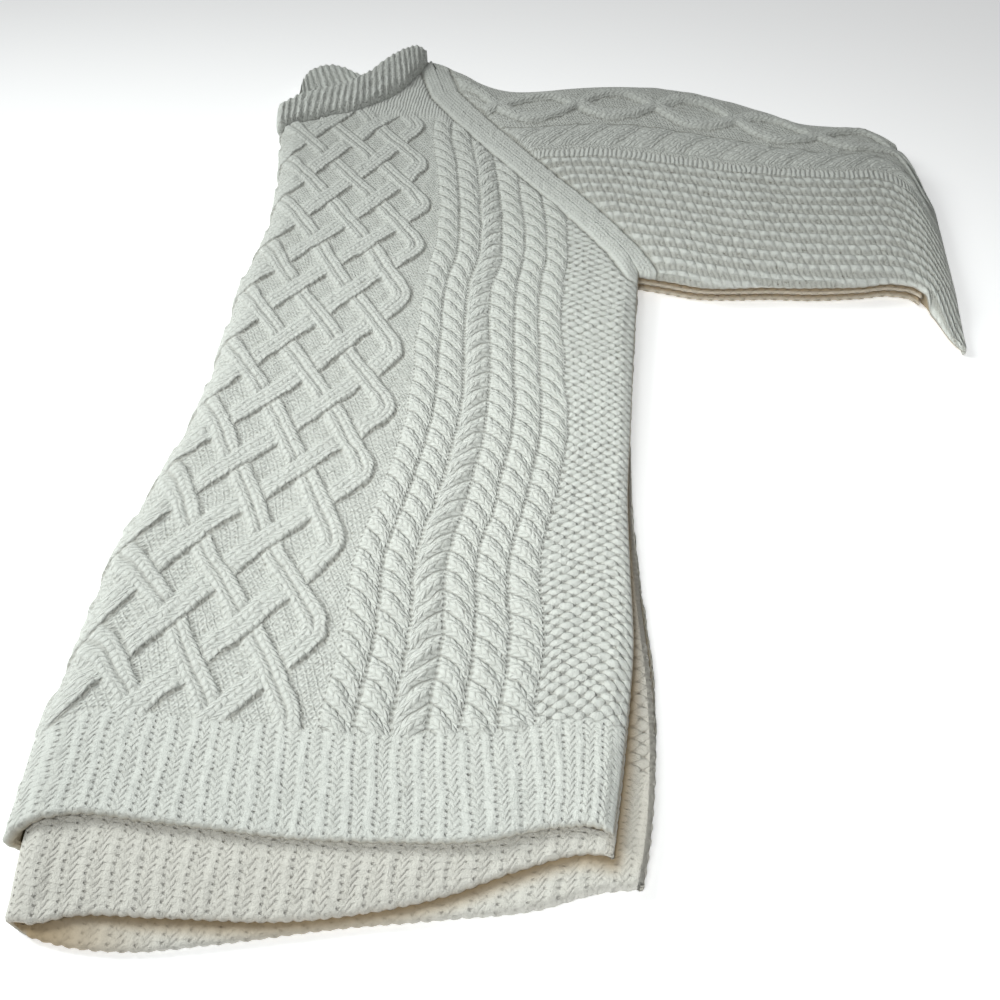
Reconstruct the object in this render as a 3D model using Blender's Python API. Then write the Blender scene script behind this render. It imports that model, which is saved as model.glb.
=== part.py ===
"""Cable knit pullover, folded in half along its centre line and laid flat.

The front is folded on its centre line round the folded back. The two raglan sleeves lie on
each other to the right, and their forearms are turned under at the end. Everything is in
millimetres until the points are handed to Blender, x to the sleeves, y to the neck, z up.
"""
import math

import bmesh
import bpy
import numpy as np

MM = 0.001

# ---------------------------------------------------------------- driving dimensions, mm
PLAN_CENTRE = (88.0, -343.0)  # middle of the folded garment on the table, becomes the origin
GAP = 0.3                     # between two pieces that touch

LAYER = 4.7                   # lowest layer of cloth, from the table up
CORE_TOP = 13.7               # top of the hidden layers
INSIDE_TOP = CORE_TOP + GAP   # plain inside of the upper layer
TOP = 18.0                    # plain outside of the upper layer
FOLD_DEPTH = 16.0             # how far the round of the centre front fold reaches in
FOLD_WALL = 4.5               # cloth at that fold

RIB_HEIGHT = 53.0             # ribbed welt
ROW = 8.0                     # distance of the rows of points above the welt
BODY_ROWS = 86                # rows of points from the welt to the neck
HEM_FADE = 350.0              # above this the rows are straight

TRELLIS_CENTRE = 43.5         # first crossing from the fold
TRELLIS_PITCH = 40.0          # from crossing to crossing, across
TRELLIS_REPEAT = 56.0         # from crossing to crossing, along
TRELLIS_EDGE = 123.5          # where the bands turn back
TRELLIS_LIFT = 2.4
TRELLIS_STEP = 5.0            # distance of the lines of points
ROPE_START = 134.5
ROPE_WIDTH = 16.9
ROPE_COUNT = 6
ROPE_LIFT = 3.0
ROPE_LINES = 4                # lines of points on one rope
RIB_LIFT = 1.1
RAGLAN_BAND = 12.0            # plain stitches on each side of the raglan seam

# Body, from the hem to the neck: centre front fold, side seam of the upper pair of layers,
# side seam of the lower pair, and how far the stitches are stretched across.
BODY = {
    "y":      (-740, -699, -667, -629, -584, -529, -470, -408, -339, -271, -240, -201, -139, -78, -45, 60),
    "fold":   (-134, -136, -140, -144, -144, -148, -142, -138, -143, -148, -146, -149, -160, -174, -177,
               -177),
    "side":   (138, 139, 141, 143, 144, 140, 136, 135, 134, 133.5, 133.5, 134, 134, 134, 134, 134),
    "under":  (150, 153, 157, 158, 155, 147, 140, 136, 134.5, 134, 134, 134, 134, 134, 134, 134),
    "spread": (1.03, 1.03, 1.03, 1.02, 1.02, 1.01, 1.0, .985, .97, .965, .96, .955, .95, .95, .95, .95),
}
# Edge of each layer at the hem: the upper front, the upper and the lower back.
FRONT_HEM = {
    "x": (-136, -128, -112, -70, 0, 44, 80, 115, 133, 145),
    "y": (-703, -696, -689, -687, -686, -682, -677, -666, -664, -669),
}
BACK_HEM = {
    "x": (-124, -119, -98, -58, 7, 28, 70, 99, 130, 145),
    "y": (-735, -735, -729, -725, -718, -713, -699, -685, -674, -675),
}
LOWER_HEM = {
    "x": (-124, -119, -105, -69, -35, 27, 71, 110, 136, 153),
    "y": (-731, -733, -738, -738, -732, -717, -708, -699, -688, -684),
}
UNDER_HEM = {"x": (-133, 153), "y": (-701, -671)}
FRONT_HEM_BASE = -688.0

# Seam of the front and back with the sleeves, from the neck to the underarm.
RAGLAN = {
    "x": (-66, -44, -20, 10, 45, 73, 100, 122, 134),
    "y": (46, -12, -46, -84, -126, -158, -192, -224, -246),
}
# Seam of the neckband (seam), its rolled outer edge (rim) and the back neckband below (back).
NECK = {
    "seam_x": (-170, -158, -145, -130, -116, -103, -91, -80, -74, -68),
    "seam_y": (-86, -79, -72, -63, -56, -42, -27, -8, 14, 38),
    "rim_x":  (-173, -162, -146, -133, -121, -112, -102, -93, -83, -71),
    "rim_y":  (-60, -46, -34, -23, -11, 4, 28, 44, 53, 52),
    "back_x": (-168, -175, -173, -162, -146, -129, -110, -96, -84, -70),
    "back_y": (-24, 4, 24, 36, 34, 24, 30, 46, 55, 53),
}
NECK_RIBS = 24
NECK_CREST = 29.0             # the neckband stands up on its eight layers
NECK_BULGE = 6.0              # how far its fold at the centre front stands out

# Sleeve, from the neck to where it is turned under: its fold, and its underarm seam.
SLEEVE = {
    "x":    (-64, -54, -41, -28, -19, -10, 10, 28, 60, 88, 123, 150, 177, 200, 226, 259, 290, 316, 330, 341,
             350, 357),
    "far":  (47, 43, 33, 23.5, 16, 10, 3, 4, 14, 21, 25, 24, 18, 9, -3, -20, -22, -25, -38, -58, -96, -122),
    "near": (-246, -246, -246, -246, -246, -246, -246, -246, -246, -246, -246, -249, -253, -251, -247, -244,
             -238, -232, -236, -254, -280, -290),
    # Where the moss stitch ends and the cables begin.
    "border": (-100, -100, -100, -100, -100, -100, -100, -99, -94, -89, -89, -92, -96, -99, -100, -99,
               -97, -94, -99, -114, -146, -172),
}
SLEEVE_END = 357.0
SLEEVE_ROLL = 300.0           # the surface starts to turn down here
SLEEVE_ROLL_HEIGHT = 8.5      # height of the roll's outermost line
SLEEVE_HOLLOW_END = 334.0     # the hidden layers end here, the roll beyond is one piece
SLEEVE_TOP = 20.0
SLEEVE_SPLIT = 10.3           # between the lower and the upper sleeve
WAVE_FIRST = 138.0            # a crossing of the wave cable
WAVE_PITCH = 66.0
WAVE_MIDDLE = 0.70            # place of the wave, from the moss border 0 to the fold 1
WAVE_SWING = 0.19
WAVE_LIFT = 3.0
SLEEVE_ROPE = (0.05, 0.36)

CREAM = (0.80, 0.77, 0.69, 1.0)


# ---------------------------------------------------------------- small helpers
def curve(value, places, sizes):
    """Smooth curve through a table: cubic pieces with the table's own slopes."""
    places = np.asarray(places, float)
    sizes = np.asarray(sizes, float)
    value = float(min(max(value, places[0]), places[-1]))
    slopes = np.gradient(sizes, places)
    i = int(min(max(np.searchsorted(places, value) - 1, 0), len(places) - 2))
    width = places[i + 1] - places[i]
    f = (value - places[i]) / width
    start = (2 * f**3 - 3 * f**2 + 1) * sizes[i] + (f**3 - 2 * f**2 + f) * width * slopes[i]
    end = (3 * f**2 - 2 * f**3) * sizes[i + 1] + (f**3 - f**2) * width * slopes[i + 1]
    return float(start + end)


def ramp(value, low, high):
    """0 at low, 1 at high and beyond, soft in between."""
    f = min(max((value - low) / (high - low), 0.0), 1.0)
    return f * f * (3 - 2 * f)


def mix(a, b, f):
    return a + (b - a) * f


def body(column, y):
    return curve(y, BODY["y"], BODY[column])


def hem(table, x):
    return curve(x, table["x"], table["y"])


def distance_to_line(x, y, line_x, line_y):
    """Distance of a point to a broken line."""
    best = 1e9
    for i in range(len(line_x) - 1):
        ax, ay = line_x[i], line_y[i]
        bx, by = line_x[i + 1] - ax, line_y[i + 1] - ay
        f = min(max(((x - ax) * bx + (y - ay) * by) / (bx * bx + by * by), 0), 1)
        best = min(best, math.hypot(x - ax - f * bx, y - ay - f * by))
    return best


class Skin:
    """Closed surface built from lines of points, each joined to the next with triangles."""

    def __init__(self, by_x=False):
        self.mesh = bmesh.new()
        self.by_x = by_x

    def line(self, points):
        middle_x, middle_y = PLAN_CENTRE
        return [self.mesh.verts.new(((x - middle_x) * MM, (y - middle_y) * MM, z * MM)) for x, y, z in points]

    def face(self, *corners):
        if len(set(corners)) == 3:
            self.mesh.faces.new(corners)

    def strip(self, first, second):
        """Join two lines. Lines of the same length are joined cell by cell, on the flatter diagonal."""
        if len(first) == len(second):
            for i in range(len(first) - 1):
                a, b, c, d = first[i], first[i + 1], second[i + 1], second[i]
                if abs(a.co.z - c.co.z) <= abs(b.co.z - d.co.z):
                    self.face(a, b, c)
                    self.face(a, c, d)
                else:
                    self.face(a, b, d)
                    self.face(b, c, d)
            return
        reach_first = self.reach(first)
        reach_second = self.reach(second)
        i = j = 0
        while i < len(first) - 1 or j < len(second) - 1:
            next_first = reach_first[i + 1] if i < len(first) - 1 else 2.0
            next_second = reach_second[j + 1] if j < len(second) - 1 else 2.0
            if next_first <= next_second:
                self.face(first[i], first[i + 1], second[j])
                i += 1
            else:
                self.face(first[i], second[j + 1], second[j])
                j += 1

    def reach(self, line):
        """Length along a line at each point, or its way in x, as a share of the whole."""
        steps = [(line[i + 1].co - line[i].co) for i in range(len(line) - 1)]
        steps = [step.x if self.by_x else step.length for step in steps]
        total = np.concatenate(([0.0], np.cumsum(steps)))
        return total / total[-1]

    def sheet(self, lines):
        for first, second in zip(lines, lines[1:]):
            self.strip(first, second)

    def cap(self, outline):
        """Close a flat end."""
        face = self.mesh.faces.new(outline)
        face.normal_update()
        bmesh.ops.triangulate(self.mesh, faces=[face])

    def finish(self, name, material):
        bmesh.ops.recalc_face_normals(self.mesh, faces=self.mesh.faces[:])
        data = bpy.data.meshes.new(name)
        self.mesh.to_mesh(data)
        self.mesh.free()
        piece = bpy.data.objects.new(name, data)
        data.materials.append(material)
        garment.objects.link(piece)
        return piece


def wool(name, tint):
    material = bpy.data.materials.new(name)
    material.use_nodes = True
    shader = material.node_tree.nodes["Principled BSDF"]
    shader.inputs["Base Color"].default_value = tuple(c * t for c, t in zip(CREAM[:3], tint)) + (1.0,)
    shader.inputs["Roughness"].default_value = 0.9
    shader.inputs["Metallic"].default_value = 0.0
    return material


def prism(name, outline, low, high):
    """Cutter with an outline on the table and straight sides."""
    data = bpy.data.meshes.new(name)
    builder = bmesh.new()
    middle_x, middle_y = PLAN_CENTRE
    base = builder.faces.new(
        [builder.verts.new(((x - middle_x) * MM, (y - middle_y) * MM, low * MM)) for x, y in outline])
    raised = bmesh.ops.extrude_face_region(builder, geom=[base])
    top = [v for v in raised["geom"] if isinstance(v, bmesh.types.BMVert)]
    bmesh.ops.translate(builder, verts=top, vec=(0, 0, (high - low) * MM))
    bmesh.ops.recalc_face_normals(builder, faces=builder.faces[:])
    builder.to_mesh(data)
    builder.free()
    cutter = bpy.data.objects.new(name, data)
    cutter.hide_render = True
    cutter.display_type = "WIRE"
    cutters.objects.link(cutter)
    return cutter


def cut(piece, cutter):
    step = piece.modifiers.new("cut along " + cutter.name, "BOOLEAN")
    step.operation = "DIFFERENCE"
    step.solver = "EXACT"
    step.object = cutter


def shifted(line_x, line_y, distance):
    """A broken line moved sideways, to its left seen along it."""
    points = np.stack([line_x, line_y], 1).astype(float)
    ways = np.gradient(points, axis=0)
    ways /= np.linalg.norm(ways, axis=1)[:, None]
    return [(x - w[1] * distance, y + w[0] * distance) for (x, y), w in zip(points, ways)]


# ---------------------------------------------------------------- the stitch patterns
def trellis_lift(across, along):
    """Bands that cross like a lattice and turn back at the edge of the panel."""
    lift = 0.0
    slope = TRELLIS_PITCH / TRELLIS_REPEAT
    for side in (-1, 1):
        offset = across - TRELLIS_CENTRE - side * along * slope
        offset = abs((offset + TRELLIS_PITCH / 2) % TRELLIS_PITCH - TRELLIS_PITCH / 2)
        lift = max(lift, 1.0 - ramp(offset, 4.8, 9.8))
    return TRELLIS_LIFT * lift * (1.0 - ramp(across, TRELLIS_EDGE + 4.5, TRELLIS_EDGE + 9.5))


def rope_lift(across):
    """Round ropes side by side, with a gutter between them."""
    rope = (across - ROPE_START) / ROPE_WIDTH
    if rope < 0 or rope > ROPE_COUNT:
        return 0.0
    return ROPE_LIFT * math.sin(math.pi * (rope % 1.0)) ** 0.5


def front_lift(across, along, x, y):
    """Height of the front's stitch pattern over plain cloth."""
    lift = trellis_lift(across, along) if across < ROPE_START - 3 else rope_lift(across)
    seam = distance_to_line(x, y, RAGLAN["x"], RAGLAN["y"])
    beside = ramp(seam, RAGLAN_BAND, RAGLAN_BAND + 6)
    return lift * beside + 0.9 * (1 - beside)


def swell(x, y):
    """Soft unevenness of cloth that lies on cloth."""
    return 0.8 * math.sin(x / 39 + 0.5) * math.cos(y / 83) + 0.5 * math.sin((x + 1.3 * y) / 61)


# ---------------------------------------------------------------- front
def row_place(table, base, height, x):
    """y of a row of stitches: it follows the hem below and is straight above."""
    fade = 1.0 - ramp(height, RIB_HEIGHT, HEM_FADE)
    return base + height + (hem(table, x) - base) * fade


def fold_angle(across, top):
    """Angle round the centre front fold, 0 on top, for a distance measured over the cloth."""
    quarter = math.pi / 2 * math.sqrt((FOLD_DEPTH**2 + (top / 2) ** 2) / 2)
    return (FOLD_DEPTH - across) / quarter * math.pi / 2


def front_outside(across, height, rib):
    """Point of the front's outside, from the fold to the end of the ropes."""
    y_plain = FRONT_HEM_BASE + height
    fold = body("fold", y_plain) + 2.0
    x = fold + body("spread", y_plain) * max(across, 0)
    y = row_place(FRONT_HEM, FRONT_HEM_BASE, height, x)
    top = TOP + swell(x, y)
    if height < RIB_HEIGHT:
        lift = rib if height > 0 else -1.2
    else:
        lift = front_lift(across, height - RIB_HEIGHT - 3, x, y)
    if across >= FOLD_DEPTH:
        return x, y, top + lift
    angle = fold_angle(across, top)
    x = fold + FOLD_DEPTH - (FOLD_DEPTH + lift) * math.sin(angle)
    y = row_place(FRONT_HEM, FRONT_HEM_BASE, height, x)
    return x, y, top / 2 + (top / 2 + lift) * math.cos(angle)


def build_front(material):
    """Wall bent round the centre front fold: pattern outside, plain inside, flat below."""
    skin = Skin()
    above = [RIB_HEIGHT + 3 + ROW * i for i in range(BODY_ROWS)]
    fine = [0, 2.5, RIB_HEIGHT - 3] + above
    coarse = [0, 2.5, RIB_HEIGHT - 3, RIB_HEIGHT + 3] + above[4::4]
    if coarse[-1] != above[-1]:
        coarse.append(above[-1])

    def lower(offset, height, z):
        """Point of the layer on the table, offset from its side seam."""
        x = body("under", FRONT_HEM_BASE + height) + offset
        return x, row_place(UNDER_HEM, FRONT_HEM_BASE, height, x), z

    def moss(share, height, z, rib):
        """Point between the last rope and the side seam."""
        y_plain = FRONT_HEM_BASE + height
        rope_end = ROPE_START + ROPE_COUNT * ROPE_WIDTH
        start = body("fold", y_plain) + 2.0 + body("spread", y_plain) * rope_end
        x = mix(start, body("side", y_plain), share)
        y = row_place(FRONT_HEM, FRONT_HEM_BASE, height, x)
        raised = z + rib * (0 < height < RIB_HEIGHT) - 1.2 * (height == 0 and share < 0.9)
        if share < 0.9:
            raised += swell(x, y)
        return x, y, raised

    outer = []
    for offset, z in ((0.0, LAYER - 0.5), (0.0, 2.0), (-2.0, 0.5), (-5.0, 0.0), (-90.0, 0.0), (-190.0, 0.0)):
        outer.append(skin.line([lower(offset, h, z) for h in coarse]))
    for degrees in (180, 150, 120):
        points = []
        for h in coarse:
            fold = body("fold", FRONT_HEM_BASE + h) + 2.0
            angle = math.radians(degrees)
            x = fold + FOLD_DEPTH * (1 - math.sin(angle))
            y = row_place(FRONT_HEM, FRONT_HEM_BASE, h, fold)
            points.append((x, y, TOP / 2 * (1 + math.cos(angle))))
        outer.append(skin.line(points))
    lines = [TRELLIS_CENTRE + TRELLIS_STEP * (i - 10) for i in range(28)]
    lines += [ROPE_START + ROPE_WIDTH / ROPE_LINES * i for i in range(ROPE_COUNT * ROPE_LINES + 1)]
    for i, across in enumerate(lines):
        outer.append(skin.line([front_outside(across, h, RIB_LIFT * (i % 2)) for h in fine]))
    for i, share in enumerate((0.12, 0.24, 0.36, 0.48, 0.6, 0.72)):
        outer.append(skin.line([moss(share, h, TOP + 0.8, RIB_LIFT * (i % 2)) for h in coarse]))
    for share, z in ((0.84, 18.2), (0.93, 17.4), (0.98, 16.2), (1.0, INSIDE_TOP + 0.7)):
        outer.append(skin.line([moss(share, h, z, 0) for h in coarse]))

    inner = []
    for offset in (-2.0, -60.0, -140.0):
        points = []
        for h in coarse:
            x = body("side", FRONT_HEM_BASE + h) + offset
            points.append((x, row_place(FRONT_HEM, FRONT_HEM_BASE, h, x), INSIDE_TOP))
        inner.append(skin.line(points))
    middle = (INSIDE_TOP + LAYER) / 2
    for degrees in (0, 45, 90, 135, 180):
        points = []
        for h in coarse:
            fold = body("fold", FRONT_HEM_BASE + h) + 2.0
            angle = math.radians(degrees)
            x = fold + FOLD_DEPTH - (FOLD_DEPTH - FOLD_WALL) * math.sin(angle)
            y = row_place(FRONT_HEM, FRONT_HEM_BASE, h, fold if degrees > 90 else x)
            points.append((x, y, middle + (INSIDE_TOP - middle) * math.cos(angle)))
        inner.append(skin.line(points))
    for offset in (-190.0, -90.0, -2.0):
        inner.append(skin.line([lower(offset, h, LAYER) for h in coarse]))

    skin.sheet(outer + inner + outer[:1])
    skin.strip([line[0] for line in outer], [line[0] for line in reversed(inner)])
    skin.cap([line[-1] for line in outer + inner])
    return skin.finish("front", material)


# ---------------------------------------------------------------- back
BACK_PLAIN_ROWS = (-600, -529, -470, -408, -339, -271, -240, -201, -139, -78, -20, 46)
BACK_SHOWN = (0.0, 0.09, 0.5, 0.88, 1.0)   # rows between the back's hem and the front's
BACK_RISE = (0.0, 0.15, 0.55, 0.9, 1.0)    # how far each has come up onto the lower front
BACK_FOLD_COVERED = -703.0                 # the front's fold covers the back's from here on


def hem_height(x, at_fold, at_side):
    """Height of an edge at the hem: low on the table by the fold, higher at the side seam."""
    return mix(at_fold, at_side, ramp(x, 50, 128))


def back_upper(x, z_low, z_high, rib=0.0, rows=BACK_PLAIN_ROWS):
    """Line of points of the back's upper layer; x is a number or a function of y."""
    place = x if callable(x) else (lambda y: x)
    points = []
    x_hem = place(-690.0)
    covered = hem(FRONT_HEM, x_hem) + 2.0 if x_hem > -110 else BACK_FOLD_COVERED
    for shown, rise in zip(BACK_SHOWN, BACK_RISE):
        y = mix(hem(BACK_HEM, x_hem), covered, shown)
        points.append((place(y), y, mix(z_low, z_high, rise) + (rib if 0 < shown < 0.8 else 0)))
    return points + [(place(y), y, z_high) for y in rows]


def back_lower(x, z_low, z_high, rows=BACK_PLAIN_ROWS):
    """Line of points of the back's lower layer, on the table at the hem, on the front above."""
    place = x if callable(x) else (lambda y: x)
    x_hem = place(-690.0)
    edge = hem(LOWER_HEM, x_hem)
    under = hem(UNDER_HEM, x_hem)
    near_table = z_low == 0
    points = []
    for y, rise in zip((edge, edge + 1.5, under - 10.0, under - 3.0, under + 12.0), BACK_RISE):
        z = (z_low if y < under - 4 else z_high) if near_table else mix(z_low, z_high, rise)
        points.append((place(y), y, z))
    return points + [(place(y), y, z_high) for y in rows]


def build_back(material):
    """The folded back: two layers in one solid, parted by a groove at the side and at the hem."""
    skin = Skin()
    bottom = LAYER + GAP
    ends = (BACK_PLAIN_ROWS[-1],)

    def fold_side(angle):
        radius = FOLD_DEPTH - FOLD_WALL - 1.5

        def place(y):
            return body("fold", y) + 2.0 + FOLD_DEPTH - radius * math.sin(angle) + 4.0 * ramp(-y, 700, 735)
        return place

    def side(offset, column="side"):
        return lambda y: body(column, y) + offset

    arc = []
    for degrees, low, high in ((0, 8.6, CORE_TOP), (45, 7.6, 12.4), (90, 4.8, 9.4), (135, 2.0, 6.3)):
        arc.append(skin.line(back_upper(fold_side(math.radians(degrees)), low, high)))
    arc.append(skin.line(back_lower(fold_side(math.pi), 0, bottom)))

    ribs = []
    count = 46
    for i in range(count):
        x = mix(-107.0, 126.0, i / (count - 1))
        rows = BACK_PLAIN_ROWS if i in (0, count - 1) else ends
        ribs.append(skin.line(back_upper(x, hem_height(x, 8.6, 12.2), CORE_TOP, 0.9 * (i % 2), rows)))
    edge = []
    for offset, low, high in ((-3.0, 12.0, CORE_TOP), (0.0, 11.0, 12.2), (-0.8, 9.8, 10.6), (-8.0, 9.0, 9.6)):
        edge.append(skin.line(back_upper(side(offset), low, high)))
    for offset, low, high in ((-0.8, 7.6, 8.6), (0.0, 5.6, 7.0)):
        edge.append(skin.line(back_lower(side(offset, "under"), low, high)))
    edge.append(skin.line(back_lower(side(-3.0, "under"), 0, bottom)))
    below = []
    for x in (120.0, 80.0, 40.0, 0.0, -40.0, -75.0, -100.0):
        below.append(skin.line(back_lower(x, 0, bottom)))

    ring = list(reversed(arc)) + ribs + edge + below
    skin.sheet(ring + ring[:1])

    # Hem: rim of the upper layer, groove, rim of the lower layer.
    def rim(table, at_fold, at_side, inset, first, last):
        points = []
        for x in np.linspace(-104.0, 122.0, 18):
            deep = inset * (1 - 0.8 * ramp(x, 90, 120))
            points.append((x, hem(table, x) + deep, hem_height(x, at_fold, at_side)))
        return [first] + skin.line(points) + [last]

    upper_path = [arc[0][0]] + [line[0] for line in ribs] + [edge[0][0], edge[1][0]]
    upper_rim = rim(BACK_HEM, 5.5, 9.8, 0.5, arc[1][0], edge[2][0])
    groove = rim(BACK_HEM, 4.9, 9.0, 7.0, arc[2][0], edge[3][0])
    lower_rim = rim(LOWER_HEM, 4.3, 7.6, 0.5, arc[3][0], edge[4][0])
    lower_path = [arc[4][0]] + [line[0] for line in reversed(below)] + [edge[6][0], edge[5][0]]
    skin.sheet([upper_path, upper_rim, groove, lower_rim, lower_path])
    skin.cap([line[-1] for line in ring])
    return skin.finish("back", material)


# ---------------------------------------------------------------- sleeves
def sleeve(column, x):
    return curve(x, SLEEVE["x"], SLEEVE[column])


def roll(x, height, end_height):
    """Height of a surface that turns down towards the sleeve's end."""
    f = min(max((x - SLEEVE_ROLL) / (SLEEVE_END - SLEEVE_ROLL), 0), 1)
    return end_height + (height - end_height) * math.sqrt(1 - f * f)


def wave_lift(x, share):
    """Two strands that cross and part along the sleeve."""
    swing = WAVE_SWING * math.sin(math.pi * (x - WAVE_FIRST) / WAVE_PITCH)
    offset = min(abs(share - WAVE_MIDDLE - swing), abs(share - WAVE_MIDDLE + swing))
    return WAVE_LIFT * (1.0 - ramp(offset, 0.035, 0.095))


def sleeve_rope_lift(x, share):
    low, high = SLEEVE_ROPE
    if share <= low or share >= high:
        return 0.0
    place = (share - low) / (high - low)
    twist = (x / 27.0 + 0.8 * place) % 1.0
    groove = 1.0 - ramp(min(twist, 1 - twist), 0.05, 0.25)
    return 2.6 * (math.sin(math.pi * place) ** 0.5 - 0.4 * groove)


def ear(x, y):
    """How far a point lies in the corner that sticks out at the sleeve's turned end."""
    return ramp(-y, 228, 285) * ramp(x, 322, 345)


def hollow_inset(column, x):
    """How far in from the sleeve's edge its hollow ends."""
    if column == "near":
        return 9.0
    return -9.0 - 14.0 * ramp(x, 305, SLEEVE_HOLLOW_END)


def sleeve_places(first, last, step):
    count = int(round((last - first) / step))
    return [first + (last - first) * i / count for i in range(count + 1)]


def build_sleeve_right(material):
    """Upper sleeve: a wall over the hidden layers that turns down to the table at its end."""
    skin = Skin(by_x=True)
    fine = sleeve_places(SLEEVE["x"][0], 316.0, 7.0)
    fine += [322.0, 328.0, 334.0, 337.0, 340.0, 344.0, 348.0, 352.0, 355.0, 357.0]
    coarse = sleeve_places(SLEEVE["x"][0], 316.0, 21.2)
    coarse += [328.0, 334.0, 337.0, 340.0, 346.0, 352.0, 355.0, 357.0]
    inside = sleeve_places(SLEEVE["x"][0], 316.0, 14.0) + [322.0, 328.0, SLEEVE_HOLLOW_END]
    under = ((SLEEVE_HOLLOW_END + 1.0, 0.0), (344.0, 0.0), (352.0, 0.0), (355.0, 0.2), (356.4, 0.4))
    lip = SLEEVE_SPLIT + GAP

    def top_point(x, y, height):
        z = roll(x, height + swell(x, y) * 0.7, SLEEVE_ROLL_HEIGHT)
        return x, y, mix(z, min(z, 5.5), ear(x, y))

    def rim_point(x, y, height):
        """Edge of the wall: above the lower sleeve, or down to the table beyond it."""
        down = ramp(x, SLEEVE_HOLLOW_END, SLEEVE_HOLLOW_END + 6)
        z = mix(height, max(height - lip, 0.0) * 0.8 + 0.8, down)
        limit = roll(x, 30.0, SLEEVE_ROLL_HEIGHT) * mix(1.0, 0.5, ear(x, y))
        return x, y, min(z, limit)

    outer = []
    for offset, height in ((5.0, lip), (1.2, lip + 1.2), (0.0, lip + 3.6), (2.4, lip + 6.4)):
        outer.append(skin.line([rim_point(x, sleeve("near", x) + offset, height) for x in coarse]))
    for share in (0.05, 0.2, 0.4, 0.6, 0.8, 0.95):
        points = [(x, mix(sleeve("near", x), sleeve("border", x), share)) for x in coarse]
        outer.append(skin.line([top_point(x, y, SLEEVE_TOP - 0.8 * (share < 0.1)) for x, y in points]))
    shares = [0.0, 0.05, 0.13, 0.205, 0.28, 0.36, 0.40] + [0.44 + 0.045 * i for i in range(11)]
    for share in shares:
        points = []
        for x in fine:
            y = mix(sleeve("border", x), sleeve("far", x) - 9.0, share)
            lift = wave_lift(x, share) + sleeve_rope_lift(x, share)
            points.append(top_point(x, y, SLEEVE_TOP + lift))
        outer.append(skin.line(points))
    far_rim = ((-5.0, 7.4), (-1.5, 5.6), (0.0, 3.4), (-1.6, 1.0), (-5.0, 0.0))
    for offset, height in far_rim:
        outer.append(skin.line([rim_point(x, sleeve("far", x) + offset, lip + height) for x in fine]))

    inner = []
    hollow = (("far", 0.0, lip), ("far", -20.0, INSIDE_TOP), ("near", 30.0, INSIDE_TOP), ("near", 0.0, lip))
    for column, farther_in, height in hollow:
        points = [(x, sleeve(column, x) + hollow_inset(column, x), height) for x in inside]
        points += [(x, sleeve(column, x) + hollow_inset(column, x) + farther_in, z) for x, z in under]
        inner.append(skin.line(points))

    skin.sheet(outer + inner + outer[:1])
    skin.cap([line[0] for line in outer + inner])
    skin.by_x = False
    skin.strip([line[-1] for line in outer], [line[-1] for line in reversed(inner)])
    return skin.finish("sleeve_right", material)


def build_sleeve_left(material):
    """Lower sleeve with the hidden layers of both: one rounded solid, layered at its edges."""
    skin = Skin()
    places = sleeve_places(SLEEVE["x"][0], 316.0, 14.0) + [322.0, 328.0, SLEEVE_HOLLOW_END - 0.6]
    split = SLEEVE_SPLIT
    section = (
        ("near", 0, 3.0, 0.0), ("near", 0, 0.4, 2.3), ("near", 0, 5.0, 4.9), ("near", 0, 0.6, 7.6),
        ("near", 0, 3.5, 9.9), ("near", 1, 1.5, split), ("near", 1, 1.5, CORE_TOP),
        ("far", 1, -1.5, CORE_TOP), ("far", 1, -1.5, split), ("far", 0, -3.0, 9.8),
        ("far", 0, 0.0, 7.4), ("far", 0, -4.0, 4.9), ("far", 0, -0.4, 2.4), ("far", 0, -3.5, 0.0),
    )
    lines = []
    for column, inside, offset, z in section:
        points = [(x, sleeve(column, x) + inside * hollow_inset(column, x) + offset, z) for x in places]
        lines.append(skin.line(points))
    skin.sheet(lines + lines[:1])
    for end in (0, -1):
        skin.cap([line[end] for line in lines])
    return skin.finish("sleeve_left", material)


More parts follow.
